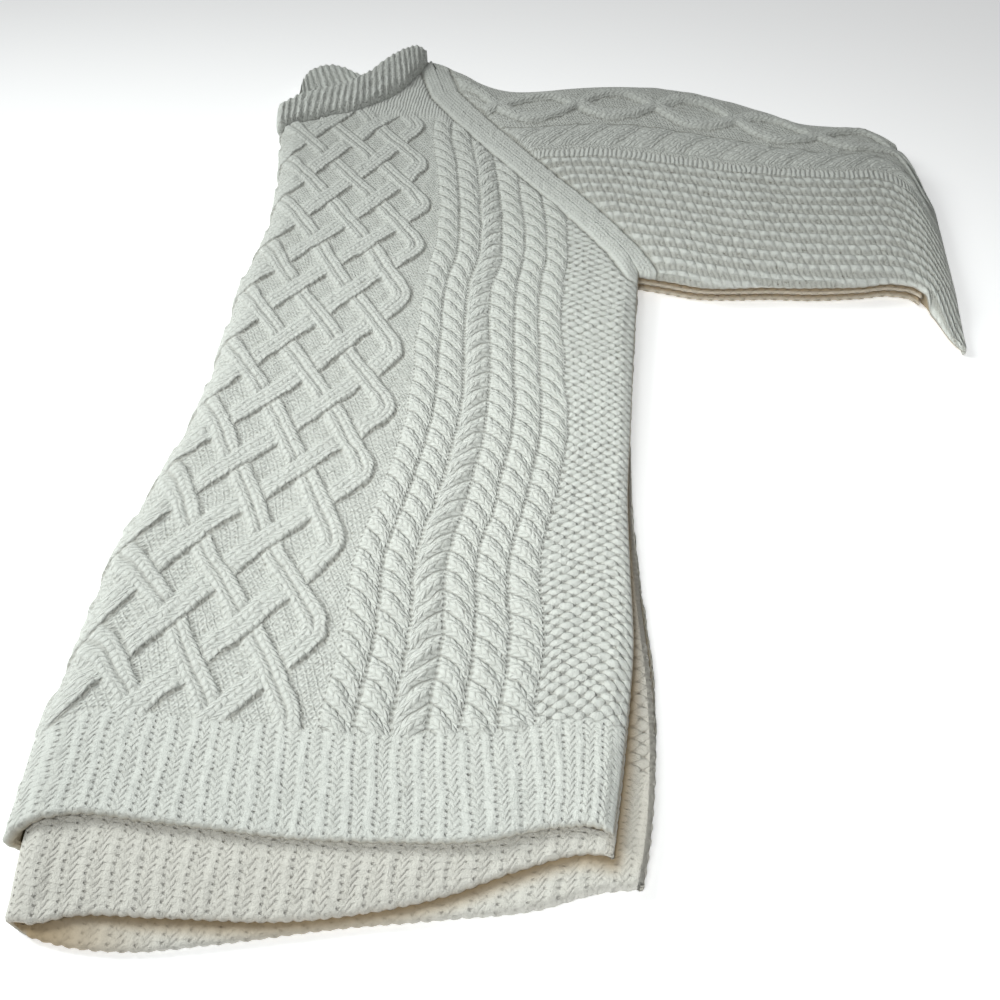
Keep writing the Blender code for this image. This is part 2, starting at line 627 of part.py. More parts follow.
# ---------------------------------------------------------------- neckband
def build_neckband(material):
    """Ribbed band round the neck: the front half on top, the back half showing below it."""
    skin = Skin()
    rows = np.arange(len(NECK["seam_x"]))
    count = NECK_RIBS * 2
    sections = []
    for i in range(-1, count + 2):
        place = min(max(i / count, 0.0), 1.0) * rows[-1]
        at = {key: curve(place, rows, NECK[key]) for key in NECK}
        seam = np.array((at["seam_x"], at["seam_y"]))
        rim = np.array((at["rim_x"], at["rim_y"]))
        back = np.array((at["back_x"], at["back_y"]))
        outward = (rim - seam) / np.linalg.norm(rim - seam)
        away = (back - seam) / np.linalg.norm(back - seam)
        seam = seam + outward * (GAP + 0.3)
        rib = 1.1 if i % 2 else 0.0
        squeeze = 0.45 if i in (-1, count + 1) else 1.0
        width = np.linalg.norm(rim - seam)
        crest = mix(24.0, NECK_CREST, ramp(width, 8, 34))
        profile = [
            (seam, 0.0), (seam, TOP + 0.4),
            (seam + outward * width * 0.12, mix(TOP, crest, 0.45) + rib),
            (seam + outward * width * 0.42, mix(TOP, crest, 0.8) + rib),
            (seam + outward * width * 0.75, crest + rib),
            (seam + outward * width * 0.93, crest - 1.2 + rib * 0.6),
            (rim, crest - 5.5),
            (rim - outward * 1.6, 17.0),
            (rim - outward * 2.0, 14.2),
            (back - away * 2.5, 12.6 + rib * 0.5),
            (back, 8.0),
            (back - away * 1.5, 2.0),
            (back - away * 4.5, 0.0),
        ]
        middle = 9.0
        points = []
        for k, (p, z) in enumerate(profile):
            bulge = (2.0 + NECK_BULGE * math.sin(math.pi * k / (len(profile) - 1))) * (i == -1)
            points.append((p[0] - bulge, p[1], middle + (z - middle) * squeeze))
        sections.append(skin.line(points))
    for first, second in zip(sections, sections[1:]):
        skin.strip(first + first[:1], second + second[:1])
    skin.cap(sections[0])
    skin.cap(sections[-1])
    return skin.finish("neckband", material)


# ---------------------------------------------------------------- build
for old in list(bpy.data.objects):
    bpy.data.objects.remove(old)
garment = bpy.data.collections.new("cable_knit_sweater")
cutters = bpy.data.collections.new("cutters")
bpy.context.scene.collection.children.link(garment)
bpy.context.scene.collection.children.link(cutters)

front = build_front(wool("front wool", (1.0, 1.0, 1.0)))
back = build_back(wool("back wool", (0.97, 0.96, 0.93)))
sleeve_right = build_sleeve_right(wool("right sleeve wool", (0.99, 1.0, 1.0)))
sleeve_left = build_sleeve_left(wool("left sleeve wool", (0.93, 0.91, 0.86)))
neckband = build_neckband(wool("neckband wool", (1.0, 0.99, 0.97)))

neck_rows = np.arange(len(NECK["seam_x"]))
neckline = [[curve(place, neck_rows, NECK[key]) for key in ("seam_x", "seam_y")]
            for place in np.linspace(0, neck_rows[-1], 28)]
raglan = list(zip(RAGLAN["x"], RAGLAN["y"]))
outside_body = [(-260, -140)] + neckline + raglan + [(420, -246), (420, 200), (-260, 200)]
beyond = prism("neck and sleeves", outside_body, -20, 60)
cut(front, beyond)
cut(back, beyond)
seam_side = shifted(RAGLAN["x"], RAGLAN["y"], GAP + 0.1)
inside_body = [(-300, 120), (-300, -400), (134.5, -400)] + seam_side[::-1] + [(-60, 60), (-60, 120)]
within = prism("body", inside_body, -20, 60)
cut(sleeve_right, within)
cut(sleeve_left, within)

for piece in garment.objects:
    piece.data.shade_flat()
    print(piece.name, len(piece.data.polygons), "faces before cutting")
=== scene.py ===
# %% [markdown]
# # A cable knit pullover, folded in half and laid flat
#
# The pullover is knitted from thick cream wool: a trellis of cables on the front, round rope cables
# beside it, moss stitch at the sides and ribbed welts. It is folded on its centre line, front
# outside, so four layers lie on each other, and both sleeves lie on each other to the right.
# The CAD pieces give the true size and place of everything. This lesson gives each of them the
# cloth that a camera sees: first the form of the cables in the mesh, then the stitches in the
# material.

# %% Load the frame
import math

import bmesh
import bpy
import numpy as np
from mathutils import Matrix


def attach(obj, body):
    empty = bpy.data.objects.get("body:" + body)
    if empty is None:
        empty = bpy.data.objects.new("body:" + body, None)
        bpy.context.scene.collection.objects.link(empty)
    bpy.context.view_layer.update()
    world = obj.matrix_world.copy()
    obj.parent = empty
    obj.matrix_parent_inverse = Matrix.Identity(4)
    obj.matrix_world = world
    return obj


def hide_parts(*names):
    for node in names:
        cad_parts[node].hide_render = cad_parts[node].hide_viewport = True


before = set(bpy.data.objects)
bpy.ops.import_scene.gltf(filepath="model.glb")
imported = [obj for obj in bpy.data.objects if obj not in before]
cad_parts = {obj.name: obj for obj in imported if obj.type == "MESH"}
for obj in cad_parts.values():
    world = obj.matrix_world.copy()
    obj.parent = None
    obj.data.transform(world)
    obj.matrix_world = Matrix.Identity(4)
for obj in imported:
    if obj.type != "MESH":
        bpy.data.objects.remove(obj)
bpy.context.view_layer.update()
bpy.ops.object.select_all(action="DESELECT")

# %% [markdown]
# ## The measures
# A knitter's measures are the number of stitches and rows. Everything here is in millimetres, with
# x to the sleeves, y to the neck and z up. Small tables hold the outlines, because a folded
# garment's edge is an uneven line that no formula gives.

# %% Measures and outlines
PLAN_CENTRE = np.array((88.0, -343.0, 0.0))  # this point of the table is the origin
STITCH = 5.0            # width of a stitch
ROW = 3.5               # height of a row
RIB = 10.7              # one knit and one purl column of the welt
RIB_HEIGHT = 53.0
TRELLIS_CENTRE = 43.5   # first crossing from the fold
TRELLIS_PITCH = 40.0
TRELLIS_REPEAT = 56.0
TRELLIS_EDGE = 123.5
ROPE_START = 134.5
ROPE_WIDTH = 16.9
ROPE_COUNT = 6
ROPE_END = ROPE_START + ROPE_COUNT * ROPE_WIDTH
ROPE_TWIST = 14.0       # from one crossing of a rope to the next
MOSS_WIDTH = 45.0       # from the last rope to the side seam
MOSS_KNOT = 9.5         # width of a knot of the moss stitch
RAGLAN_BAND = 12.0      # plain columns on each side of the raglan seam
CAST_ON_KNOT = 5.35     # width of a knot of the edge at the hem
GATHER_RIB = 5.6        # ribs in the corner where the stitches are drawn together
FOLD_DEPTH = 16.0       # how far the round of the front's fold reaches in
FOLD_WALL = 4.5         # cloth at that fold
FRONT_TOP, FRONT_INSIDE = 18.0, 14.0
CORE_TOP = 13.7         # top of the hidden layers
LAYER = 4.7             # the layer on the table
HEM_FADE = 350.0        # above this height the rows are straight
SLEEVE_SPLIT = 10.3     # between the two sleeves

BODY = {
    "y":      (-740, -699, -667, -629, -584, -529, -470, -408, -339, -271, -240, -201, -139, -78, -45, 60),
    "fold":   (-134, -136, -140, -144, -144, -148, -142, -138, -143, -148, -146, -149, -160, -174, -177,
               -177),
    "side":   (138, 139, 141, 143, 144, 140, 136, 135, 134, 133.5, 133.5, 134, 134, 134, 134, 134),
    "under":  (150, 153, 157, 158, 155, 147, 140, 136, 134.5, 134, 134, 134, 134, 134, 134, 134),
    "spread": (1.03, 1.03, 1.03, 1.02, 1.02, 1.01, 1.0, .985, .97, .965, .96, .955, .95, .95, .95, .95),
}
HEM = {  # edge of each layer at the hem: x, y
    "front": ((-136, -128, -112, -70, 0, 44, 80, 115, 133, 145),
              (-703, -696, -689, -687, -686, -682, -677, -666, -664, -669)),
    "front under": ((-133, 153), (-701, -671)),
    "back": ((-124, -119, -98, -58, 7, 28, 70, 99, 130, 145),
             (-735, -735, -729, -725, -718, -713, -699, -685, -674, -675)),
    "back under": ((-124, -119, -105, -69, -35, 27, 71, 110, 136, 153),
                   (-737, -738, -740, -739, -732, -717, -708, -699, -688, -684)),
}
RAGLAN = ((-66, -44, -20, 10, 45, 73, 100, 122, 134), (46, -12, -46, -84, -126, -158, -192, -224, -246))
NECK = {  # lines round the neck: x, y
    "seam": ((-170, -158, -145, -130, -116, -103, -91, -80, -74, -68),
             (-86, -79, -72, -63, -56, -42, -27, -8, 14, 38)),
    "rim": ((-173, -162, -146, -133, -121, -112, -102, -93, -83, -71),
            (-60, -46, -34, -23, -11, 4, 28, 44, 53, 52)),
    "back": ((-168, -175, -173, -162, -146, -129, -110, -96, -84, -70),
             (-24, 4, 24, 36, 34, 24, 30, 46, 55, 53)),
}
NECK_END = len(NECK["seam"][0]) - 1
SLEEVE = {
    "x":    (-64, -54, -41, -28, -19, -10, 10, 28, 60, 88, 123, 150, 177, 200, 226, 259, 290, 316, 330, 341,
             350, 357),
    "far":  (47, 43, 33, 23.5, 16, 10, 3, 4, 14, 21, 25, 24, 18, 9, -3, -20, -22, -25, -38, -58, -96, -122),
    "near": (-246, -246, -246, -246, -246, -246, -246, -246, -246, -246, -246, -249, -253, -251, -247, -244,
             -238, -232, -236, -254, -280, -290),
    "border": (-100, -100, -100, -100, -100, -100, -100, -99, -94, -89, -89, -92, -96, -99, -100, -99,
               -97, -94, -99, -114, -146, -172),
}
SLEEVE_ROLL, SLEEVE_END, ROLL_HEIGHT, HOLLOW_END = 300.0, 357.0, 8.5, 334.0

# %% [markdown]
# ## One set of formulas for mesh and material
# The same stitch pattern has to move the points of the mesh and to draw the finer relief in the
# material. So the formulas below take either arrays of numbers or values inside a shader: an
# operation on a shader value adds a Math node. Written once, mesh and material can't drift apart.


# %% Arithmetic for arrays and for shader values
def feed(node, inputs):
    """Give a shader node's inputs their numbers, or link them to other nodes."""
    for name, value in inputs.items():
        value = getattr(value, "socket", value)
        if isinstance(value, bpy.types.NodeSocket):
            node.id_data.links.new(value, node.inputs[name])
        else:
            node.inputs[name].default_value = value
    return node


def add_node(tree, kind, inputs, **options):
    node = tree.nodes.new("ShaderNode" + kind)
    for option, value in options.items():
        setattr(node, option, value)
    return feed(node, inputs)


def calculate(operation, plain, *values):
    """plain(values) for arrays, or a Math node of this operation if a value is a shader's."""
    tree = next((v.tree for v in values if isinstance(v, ShaderValue)), None)
    if tree is None:
        return plain(*values)
    return ShaderValue(tree, add_node(tree, "Math", dict(enumerate(values)), operation=operation).outputs[0])


class ShaderValue:
    """A number inside a shader, used like a number in Python."""

    def __init__(self, tree, socket):
        self.tree = tree
        self.socket = socket

    def __rsub__(self, other):
        return calculate("SUBTRACT", None, other, self)


def operator(operation):
    return lambda *values: calculate(operation, None, *values)


OPERATORS = {"add": "ADD", "radd": "ADD", "sub": "SUBTRACT", "mul": "MULTIPLY", "rmul": "MULTIPLY",
             "truediv": "DIVIDE", "mod": "FLOORED_MODULO", "pow": "POWER", "abs": "ABSOLUTE"}
for method, operation in OPERATORS.items():
    setattr(ShaderValue, f"__{method}__", operator(operation))


def sine(turns):
    return calculate("SINE", np.sin, turns * (2 * math.pi))


def lowest(a, b):
    return calculate("MINIMUM", np.minimum, a, b)


def highest(a, b):
    return calculate("MAXIMUM", np.maximum, a, b)


def whole(a):
    return calculate("FLOOR", np.floor, a)


def ramp(value, low, high):
    """0 at low, 1 at high and beyond, soft in between."""
    f = lowest(highest((value - low) / (high - low), 0.0), 1.0)
    return f * f * (3.0 - f * 2.0)


def fall(value, low, high):
    """1 up to low, 0 from high on, soft in between."""
    return 1.0 - ramp(value, low, high)


def mix(a, b, f):
    return a + (b - a) * f


def groove(value, middle, half_width):
    """1 in the middle of a groove, 0 beyond its half width."""
    return fall(abs(value - middle), half_width * 0.15, half_width)


print("sine of a quarter turn", sine(np.array(0.25)))

# %% [markdown]
# ## The stitches
# Plain knitting shows columns of V, because each stitch's two legs lean to each other. Its other
# side, purl, shows wavy rows. Moss stitch alternates both like a chessboard, and a rib puts a knit
# column beside a purl column. Each formula gives 0 in the gaps and 1 on top of the yarn, for a
# place counted in columns and rows.


# %% Stitch formulas
def knit(column, row):
    """Columns of V stitches."""
    side = abs(column % 1.0 - 0.5) * 2.0
    leg = abs(sine((row + side * 0.7) / 2.0)) ** 0.6
    return (leg * 0.6 + 0.4) * (sine(side / 2.0) * 0.45 + 0.55)


def purl(column, row):
    """Rows of short loops, each row a little to the side of the one below."""
    turn = column + whole(row) * 0.37
    dashes = sine(row + sine(turn) * 0.14) * (sine(turn * 2.0) * 0.45 + 0.55)
    return dashes * 0.42 + 0.6


def moss(column, row):
    """Rows of fat knots, each row half a knot further than the one below."""
    away = 2.0
    for shift in (0.0, 1.0):
        place = abs(((row + shift) / 2.0) % 1.0 * 2.0 - 1.0) / 0.78
        side = abs((column + shift / 2.0) % 1.0 - 0.5) * 2.0 / 0.74
        away = lowest(away, (place * place + side * side) ** 0.5)
    knots = fall(away, 0.75, 1.2) * 0.65 + (1.0 - lowest(away, 1.0)) * 0.35
    return knots - ramp(away, 1.0, 1.25) * 0.25


def rib_side(pair):
    """0 in the middle of the knit column, 1 in the middle of the purl column."""
    return abs(pair % 1.0 - 0.5) * 2.0


def rib(pair, row):
    """A smooth knit column beside a column of beads, with small holes at the beads' corners."""
    place = (pair + 0.5) % 1.0 - 0.5
    beside = abs(place) * 4.0
    turn = abs((row + place * 0.8) % 1.0 - 0.5) * 2.0
    between = ramp(turn, 0.55, 1.0)
    corner = ramp(beside, 0.5, 0.9) * fall(beside, 1.0, 1.35)
    bead = 0.95 - between * 0.12 - ramp(beside, 0.2, 1.0) * 0.15
    smooth = abs(sine((row + beside * 0.9) / 2.0)) * 0.3 + 0.5
    height = mix(bead, smooth, ramp(beside, 0.85, 1.25))
    return highest(height - corner * between * (0.52 + place * 0.8), 0.0)


print("a knit stitch is", round(float(knit(np.array(0.25), np.array(0.35))), 2), "high at its leg")

# %% [markdown]
# ## The cables
# A cable is made by knitting some columns in changed order, so they cross. In the trellis, bands of
# two columns run slanting and cross over and under each other in turn. Ropes twist all the way up.
# A formula for each gives its height for the mesh, and for the material its stitches and the grooves at its
# edges, which get painted shade.

# %% Cable formulas
SLOPE = TRELLIS_PITCH / TRELLIS_REPEAT
BAND_TURN = 1.0 / math.hypot(1.0, SLOPE)


def trellis_bands(across, along):
    """Distance from the middle of each band, whether the second one is on top, and two numbers for the
    panel's edge: 1 where a band bends back there, and 1 above the middle of that bend."""
    places = []
    for side in (1.0, -1.0):
        offset = (across - TRELLIS_CENTRE - along * (side * SLOPE) + TRELLIS_PITCH / 2) % TRELLIS_PITCH
        places.append((offset - TRELLIS_PITCH / 2) * BAND_TURN)
    above = ((along / TRELLIS_REPEAT + 0.5) % 1.0 - 0.5) * TRELLIS_REPEAT
    bend = across - (TRELLIS_EDGE + 0.9) + (above * above + 36.0) ** 0.5 * SLOPE
    bend = bend * mix(1.0, BAND_TURN, ramp(abs(above), 0.0, 9.0))
    at_edge = ramp(across, TRELLIS_EDGE - 19.1, TRELLIS_EDGE - 18.9)
    at_bend = at_edge * fall(abs(above), 8.0, 15.0)
    turning = at_edge * fall(abs(above), 15.0, 19.0)
    second_on_top = whole(along / (TRELLIS_REPEAT / 2) + 0.5) % 2.0
    return (mix(places[0], bend, at_bend), mix(places[1], bend, at_bend), second_on_top, turning,
            ramp(above, -1.5, 1.5))


def trellis_height(across, along):
    """Height of the trellis over the ground, 0 to 1: the first band is flat, the second is two cords."""
    first, second, second_on_top, turning, upper = trellis_bands(across, along)
    inside = fall(across, TRELLIS_EDGE + 3.0, TRELLIS_EDGE + 6.0)
    flat = ramp(first, -9.5, -4.5) * fall(first, 5.6, 7.6) * 0.9
    flat = flat * (ramp(abs(first), 0.2, 2.2) * 0.14 + 0.86)
    cords = fall(abs(second), 5.6, 8.0) * (ramp(abs(second + 0.6), 0.2, 2.4) * 0.4 + 0.6)
    flat_on_top = flat * (1.0 - second_on_top * fall(abs(second), 6.0, 9.5) * 0.9)
    cords_on_top = cords * (1.0 - (1.0 - second_on_top) * fall(abs(first), 6.0, 9.5) * 0.9)
    return mix(highest(flat_on_top, cords_on_top), mix(flat, cords, upper), turning) * inside


def trellis_stitches(across, along):
    """Stitches of the ground and of the bands, and the grooves along the bands, which the material darkens
    with painted shade.
    """
    first, second, second_on_top, turning, upper = trellis_bands(across, along)
    inside = fall(across, TRELLIS_EDGE + 4.0, TRELLIS_EDGE + 6.0)
    stitches = purl(across / STITCH, along / ROW)
    row = along / (BAND_TURN * 4.2)
    shares = []
    for band, other, other_on_top, in_bend in ((first, second, second_on_top, 1.0 - upper),
                                               (second, first, 1.0 - second_on_top, upper)):
        covered = other_on_top * fall(abs(other), 6.2, 7.4)
        shown = inside * mix(1.0 - covered, in_bend, turning)
        stitches = mix(stitches, knit(band / 6.6, row) * 0.8 + 0.16, shown * fall(abs(band), 5.8, 7.0))
        shares.append(shown)
    line = groove(first, 7.2, 1.3) * shares[0] * (sine(along / 3.7) * 0.2 + 0.8)
    cords = highest(groove(second, -0.6, 1.5), groove(second, 7.2, 1.6)) * shares[1] * 0.4
    return stitches, highest(line, cords)


def rope_twist(across, along):
    """Place across one rope, 0 to 1, the same from the side its strands start, and place in its twist."""
    rope = (across - ROPE_START) / ROPE_WIDTH
    place = rope % 1.0
    mirrored = fall(abs(whole(rope) - 2.0), 0.2, 0.4)
    leaning = mix(place, 1.0 - place, mirrored)
    twist = (along / ROPE_TWIST + leaning * 0.5 + leaning * leaning * 0.75) % 1.0
    return place, leaning, twist


def edge_distance(place):
    """Distance from the nearer end of 0 to 1."""
    return lowest(place, 1.0 - place)


def rope_groove(leaning, twist, half_width, end):
    """The groove between two strands: it fades where the strand goes under the rope."""
    return fall(edge_distance(twist), 0.01, half_width) * fall(leaning, end - 0.3, end)


def rope_height(across, along):
    place, leaning, twist = rope_twist(across, along)
    lump = 1.0 - rope_groove(leaning, twist, 0.45, 1.05) * 0.6
    return highest(sine(place / 2.0), 0.0) ** 0.45 * lump


def rope_stitches(across, along):
    place, leaning, twist = rope_twist(across, along)
    gutter = fall(edge_distance(place), 0.03, 0.085)
    strand = knit(twist * 2.0, (leaning * 9.0 - along * 0.5) / 3.8) * 0.85 + 0.12
    beads = abs(sine(along / (ROW * 2.0)))
    line = rope_groove(leaning, twist, 0.08, 0.8) * (1.0 - gutter) * 0.6
    # The second number is the grooves between strands and the gutters beside the rope, which the material
    # darkens with painted shade.
    return mix(strand, beads * 0.5 + 0.4, gutter), highest(line, gutter * (0.8 - beads * 0.6))


# %% [markdown]
# ## A material of wool
# Wool is matt and a little fuzzy, and darker where light gets lost between the stitches: the material
# paints that shade into its colour. One function makes the material: it reads the stitch coordinates
# stored on the mesh, works out the stitches' height, uses it for a Bump node and darkens the gaps and
# grooves with painted shade. The mesh holds cables, ribs and knots. A bump is right for the single
# stitches on them, which are only three pixels wide in the picture.

# %% The wool material
GAP_SHADE_TINT = (0.27, 0.235, 0.185)         # painted shade in the gaps between stitches, as a share of the wool's colour
WARM_PAINTED_SHADE = (0.60, 0.46, 0.30, 1.0)   # warm painted shade where no light gets in, as light that comes through the wool is warm


def wool(name, tint, pattern, relief, gaps):
    """Principled wool with painted shade in its gaps and grooves. pattern(stitches, seam) gives the
    stitches' height and grooves, both 0 to 1.
    """
    material = bpy.data.materials.new(name)
    material.use_nodes = True
    tree = material.node_tree

    def coordinates(attribute):
        read = add_node(tree, "Attribute", {}, attribute_name=attribute)
        split = add_node(tree, "SeparateXYZ", {0: read.outputs["Vector"]})
        return [ShaderValue(tree, split.outputs[axis]) for axis in "XYZ"]

    def noise(scale, detail):
        place = add_node(tree, "TexCoord", {}).outputs["Object"]
        texture = add_node(tree, "TexNoise", {"Scale": scale, "Detail": detail, "Vector": place})
        return ShaderValue(tree, texture.outputs["Fac"])

    stitches = coordinates("stitches")
    wander = noise(240.0, 1.0)
    drift = noise(90.0, 0.0)
    stitches[0] = stitches[0] + (wander - 0.5) * 1.1 + (drift - 0.5) * 2.0
    stitches[1] = stitches[1] + (wander - 0.5) * 0.9 - (drift - 0.5) * 2.0
    height, line = pattern(stitches, coordinates("seam"))
    lumps = noise(420.0, 1.0)
    fibres = noise(1500.0, 3.0)
    patches = noise(11.0, 2.0)
    # pits: small holes between the stitches; the bump sinks them and the colour gets painted shade there
    pits = ramp(lumps, 0.62, 0.74) * (1.0 - height) * 0.6
    relief_height = (height - line * 0.7 + fibres * 0.5 + lumps * 0.7 - pits * 0.6) * (1.0 - stitches[2])
    bump = add_node(tree, "Bump", {"Strength": 1.0, "Distance": relief / 1000.0, "Height": relief_height})

    # Painted shade: the colour is darker where the stitches are low, in the grooves and in the pits; patches
    # and fibres add random tone
    groove_and_pit_shade = highest(line * 0.45, pits)
    light = (height * gaps + (1.0 - gaps)) * (1.0 - groove_and_pit_shade) + (patches - 0.5) * 0.1 + (fibres - 0.5) * 0.22
    # the wool's colour in painted shade, used for the gaps
    gap_shade_colour = (*(c * share for c, share in zip(tint, GAP_SHADE_TINT)), 1.0)
    colour = add_node(tree, "Mix", {0: light, 6: gap_shade_colour, 7: (*tint, 1.0)}, data_type="RGBA")
    # Warm painted shade, by the shade number that the mesh carries as the third stitch coordinate: 1 where
    # no light gets in
    hollow = add_node(tree, "Mix", {0: stitches[2], 6: colour.outputs[2], 7: WARM_PAINTED_SHADE},
                      data_type="RGBA", blend_type="MULTIPLY")
    feed(tree.nodes["Principled BSDF"], {
        "Roughness": 0.92, "Specular IOR Level": 0.25, "Sheen Weight": 0.12, "Sheen Roughness": 0.6,
        "Normal": bump.outputs["Normal"], "Base Color": hollow.outputs[2]})
    return material


# %% [markdown]
# ## Cloth from lines of points
# A knitted panel is a grid of columns and rows, so its mesh is one too. Each line of points runs
# along a column, and the lines go all round the folded cloth: below, round the fold, over the top,
# round the side edge and back inside. A garment piece ends at a slanting seam, so each line simply
# stops where it meets the seam.


# %% Curves and grids
def curve(value, places, sizes):
    """Smooth curve through a table."""
    places = np.asarray(places, float)
    sizes = np.asarray(sizes, float)
    slopes = np.gradient(sizes, places)
    value = np.clip(value, places[0], places[-1])
    i = np.clip(np.searchsorted(places, value) - 1, 0, len(places) - 2)
    width = places[i + 1] - places[i]
    f = (value - places[i]) / width
    start = (2 * f**3 - 3 * f**2 + 1) * sizes[i] + (f**3 - 2 * f**2 + f) * width * slopes[i]
    end = (3 * f**2 - 2 * f**3) * sizes[i + 1] + (f**3 - f**2) * width * slopes[i + 1]
    return start + end


def body(column, y):
    return curve(y, BODY["y"], BODY[column])


def sleeve(column, x):
    return curve(x, SLEEVE["x"], SLEEVE[column])


def hem(edge, x):
    return curve(x, *HEM[edge])


def neck(line, place):
    """x and y of a line round the neck; place counts the entries of its table."""
    return [curve(place, np.arange(NECK_END + 1), table) for table in NECK[line]]


def seam_limit(x):
    """y at which the neckline or the raglan seam ends the body."""
    neck_x, neck_y = neck("seam", np.linspace(0, NECK_END, 40))
    return np.interp(x, np.r_[neck_x, RAGLAN[0]], np.r_[neck_y, RAGLAN[1]])


def raglan_place(x, y):
    """Distance of points from the raglan seam, and their place along it."""
    best, along, start = np.full(np.shape(x), 1e9), np.zeros(np.shape(x)), 0.0
    for ax, ay, bx, by in zip(*RAGLAN, *np.diff(RAGLAN)):
        length = math.hypot(bx, by)
        f = np.clip(((x - ax) * bx + (y - ay) * by) / length**2, 0, 1)
        away = np.hypot(x - ax - f * bx, y - ay - f * by)
        along = np.where(away < best, start + f * length, along)
        best = np.minimum(away, best)
        start += length
    return best, along


def gathered(x, y):
    """1 in the corner between neckband and sleeve, where the stitches are drawn together."""
    return ramp(y, -72.0, -38.0) * ramp(x, -120.0, -96.0)


def swell(x, y):
    """Soft unevenness of cloth that lies on cloth."""
    wide = 0.8 * np.sin(x / 39 + 0.5) * np.cos(y / 83) + 0.5 * np.sin((x + 1.3 * y) / 61)
    return wide + 0.28 * np.sin(x / 13.0 + 2.0 * np.sin(y / 47.0)) * np.sin(y / 19.0 + x / 31.0)


def uneven(x, y, size, seed):
    """Soft random numbers from -1 to 1, in lumps of this size."""
    table = np.random.default_rng(seed).uniform(-1.0, 1.0, (61, 61))
    u, v = np.broadcast_arrays(np.asarray(x, float) / size, np.asarray(y, float) / size)
    i, j = np.floor(u).astype(int), np.floor(v).astype(int)
    sides = (mix(table[i % 61, k % 61], table[(i + 1) % 61, k % 61], ramp(u - i, 0.0, 1.0))
             for k in (j, j + 1))
    return mix(*sides, ramp(v - j, 0.0, 1.0))


def wander(x, y, across, along):
    """Stitch coordinates of hand-made knitting: nowhere quite straight or even."""
    sideways = 0.9 * uneven(x, y, 23.0, 1) + 0.45 * uneven(x, y, 7.0, 2)
    lengthways = 1.1 * uneven(x, y, 19.0, 3) + 0.45 * uneven(x, y, 7.0, 4)
    return across + sideways, along + lengthways


def lumpy(x, y):
    """Single stitches stand out more or less."""
    return 0.42 * uneven(x, y, 4.6, 5) + 0.25 * uneven(x, y, 2.6, 6)


def length_along(points):
    """Length of a line of points up to each of them."""
    return np.r_[0.0, np.cumsum(np.linalg.norm(np.diff(points, axis=0), axis=1))]


def zip_ends(first, second, points):
    """Triangles between two lines of points of any length, kept in step by their length."""
    lengths = [length_along(points[line]) for line in (first, second)]
    reach_first, reach_second = (length / max(length[-1], 1e-9) for length in lengths)
    triangles = []
    i = j = 0
    while i < len(first) - 1 or j < len(second) - 1:
        next_first = reach_first[i + 1] if i < len(first) - 1 else 2.0
        next_second = reach_second[j + 1] if j < len(second) - 1 else 2.0
        if next_first <= next_second:
            triangles.append((first[i], first[i + 1], second[j]))
            i += 1
        else:
            triangles.append((first[i], second[j + 1], second[j]))
            j += 1
    return triangles


def set_up(name, data, place=(0.0, 0.0, 0.0), turn=(0.0, 0.0, 0.0)):
    """New object in the scene."""
    made = bpy.data.objects.new(name, data)
    made.location, made.rotation_euler = place, turn
    bpy.context.scene.collection.objects.link(made)
    return made


def cloth(name, points, stitches, seam, keep, outer_lines):
    """Mesh of a ring of lines. points is lines x rows x 3 in mm, keep the first and last row of each line,
    and the first outer_lines lines are the outside, whose ends are joined to the inside's."""
    lines, rows = points.shape[:2]
    number = np.arange(lines * rows).reshape(lines, rows)
    row = np.clip(np.arange(rows)[None, :], keep[:, :1], keep[:, 1:])
    number = np.take_along_axis(number, row, axis=1)
    following = np.roll(number, -1, axis=0)
    quads = np.stack((number[:, :-1], following[:, :-1], following[:, 1:], number[:, 1:]), -1).reshape(-1, 4)
    same = quads == np.roll(quads, -1, axis=1)
    whole_quads = quads[same.sum(1) == 0]
    halves = quads[same.sum(1) == 1]
    triangles = [tuple(dict.fromkeys(corners)) for corners in halves.tolist()]
    flat_points = points.reshape(-1, 3)
    for end in (0, -1):
        ring = number[:, end]
        triangles += zip_ends(list(ring[:outer_lines]), list(ring[outer_lines:][::-1]), flat_points)
    triangles = [t for t in triangles if len(set(t)) == 3]

    data = bpy.data.meshes.new(name)
    data.from_pydata(((flat_points - PLAN_CENTRE) / 1000.0).tolist(), [], whole_quads.tolist() + triangles)
    for attribute, values in (("stitches", stitches), ("seam", seam)):
        layer = data.attributes.new(attribute, "FLOAT_VECTOR", "POINT")
        layer.data.foreach_set("vector", values.astype(np.float32).ravel())
    tidy = bmesh.new()
    tidy.from_mesh(data)
    bmesh.ops.delete(tidy, geom=[v for v in tidy.verts if not v.link_faces], context="VERTS")
    bmesh.ops.recalc_face_normals(tidy, faces=tidy.faces[:])
    if tidy.calc_volume(signed=True) < 0:
        bmesh.ops.reverse_faces(tidy, faces=tidy.faces[:])
    open_edges = sum(len(edge.link_faces) != 2 for edge in tidy.edges)
    area = sum(face.calc_area() for face in tidy.faces)
    tidy.to_mesh(data)
    tidy.free()
    data.shade_smooth()
    piece = set_up(name, data)
    triangle_count = sum(len(p.vertices) - 2 for p in data.polygons)
    print(f"{name}: {triangle_count} triangles, {open_edges} open edges, {area / 2:.3f} m2 of cloth")
    return piece, area / 2


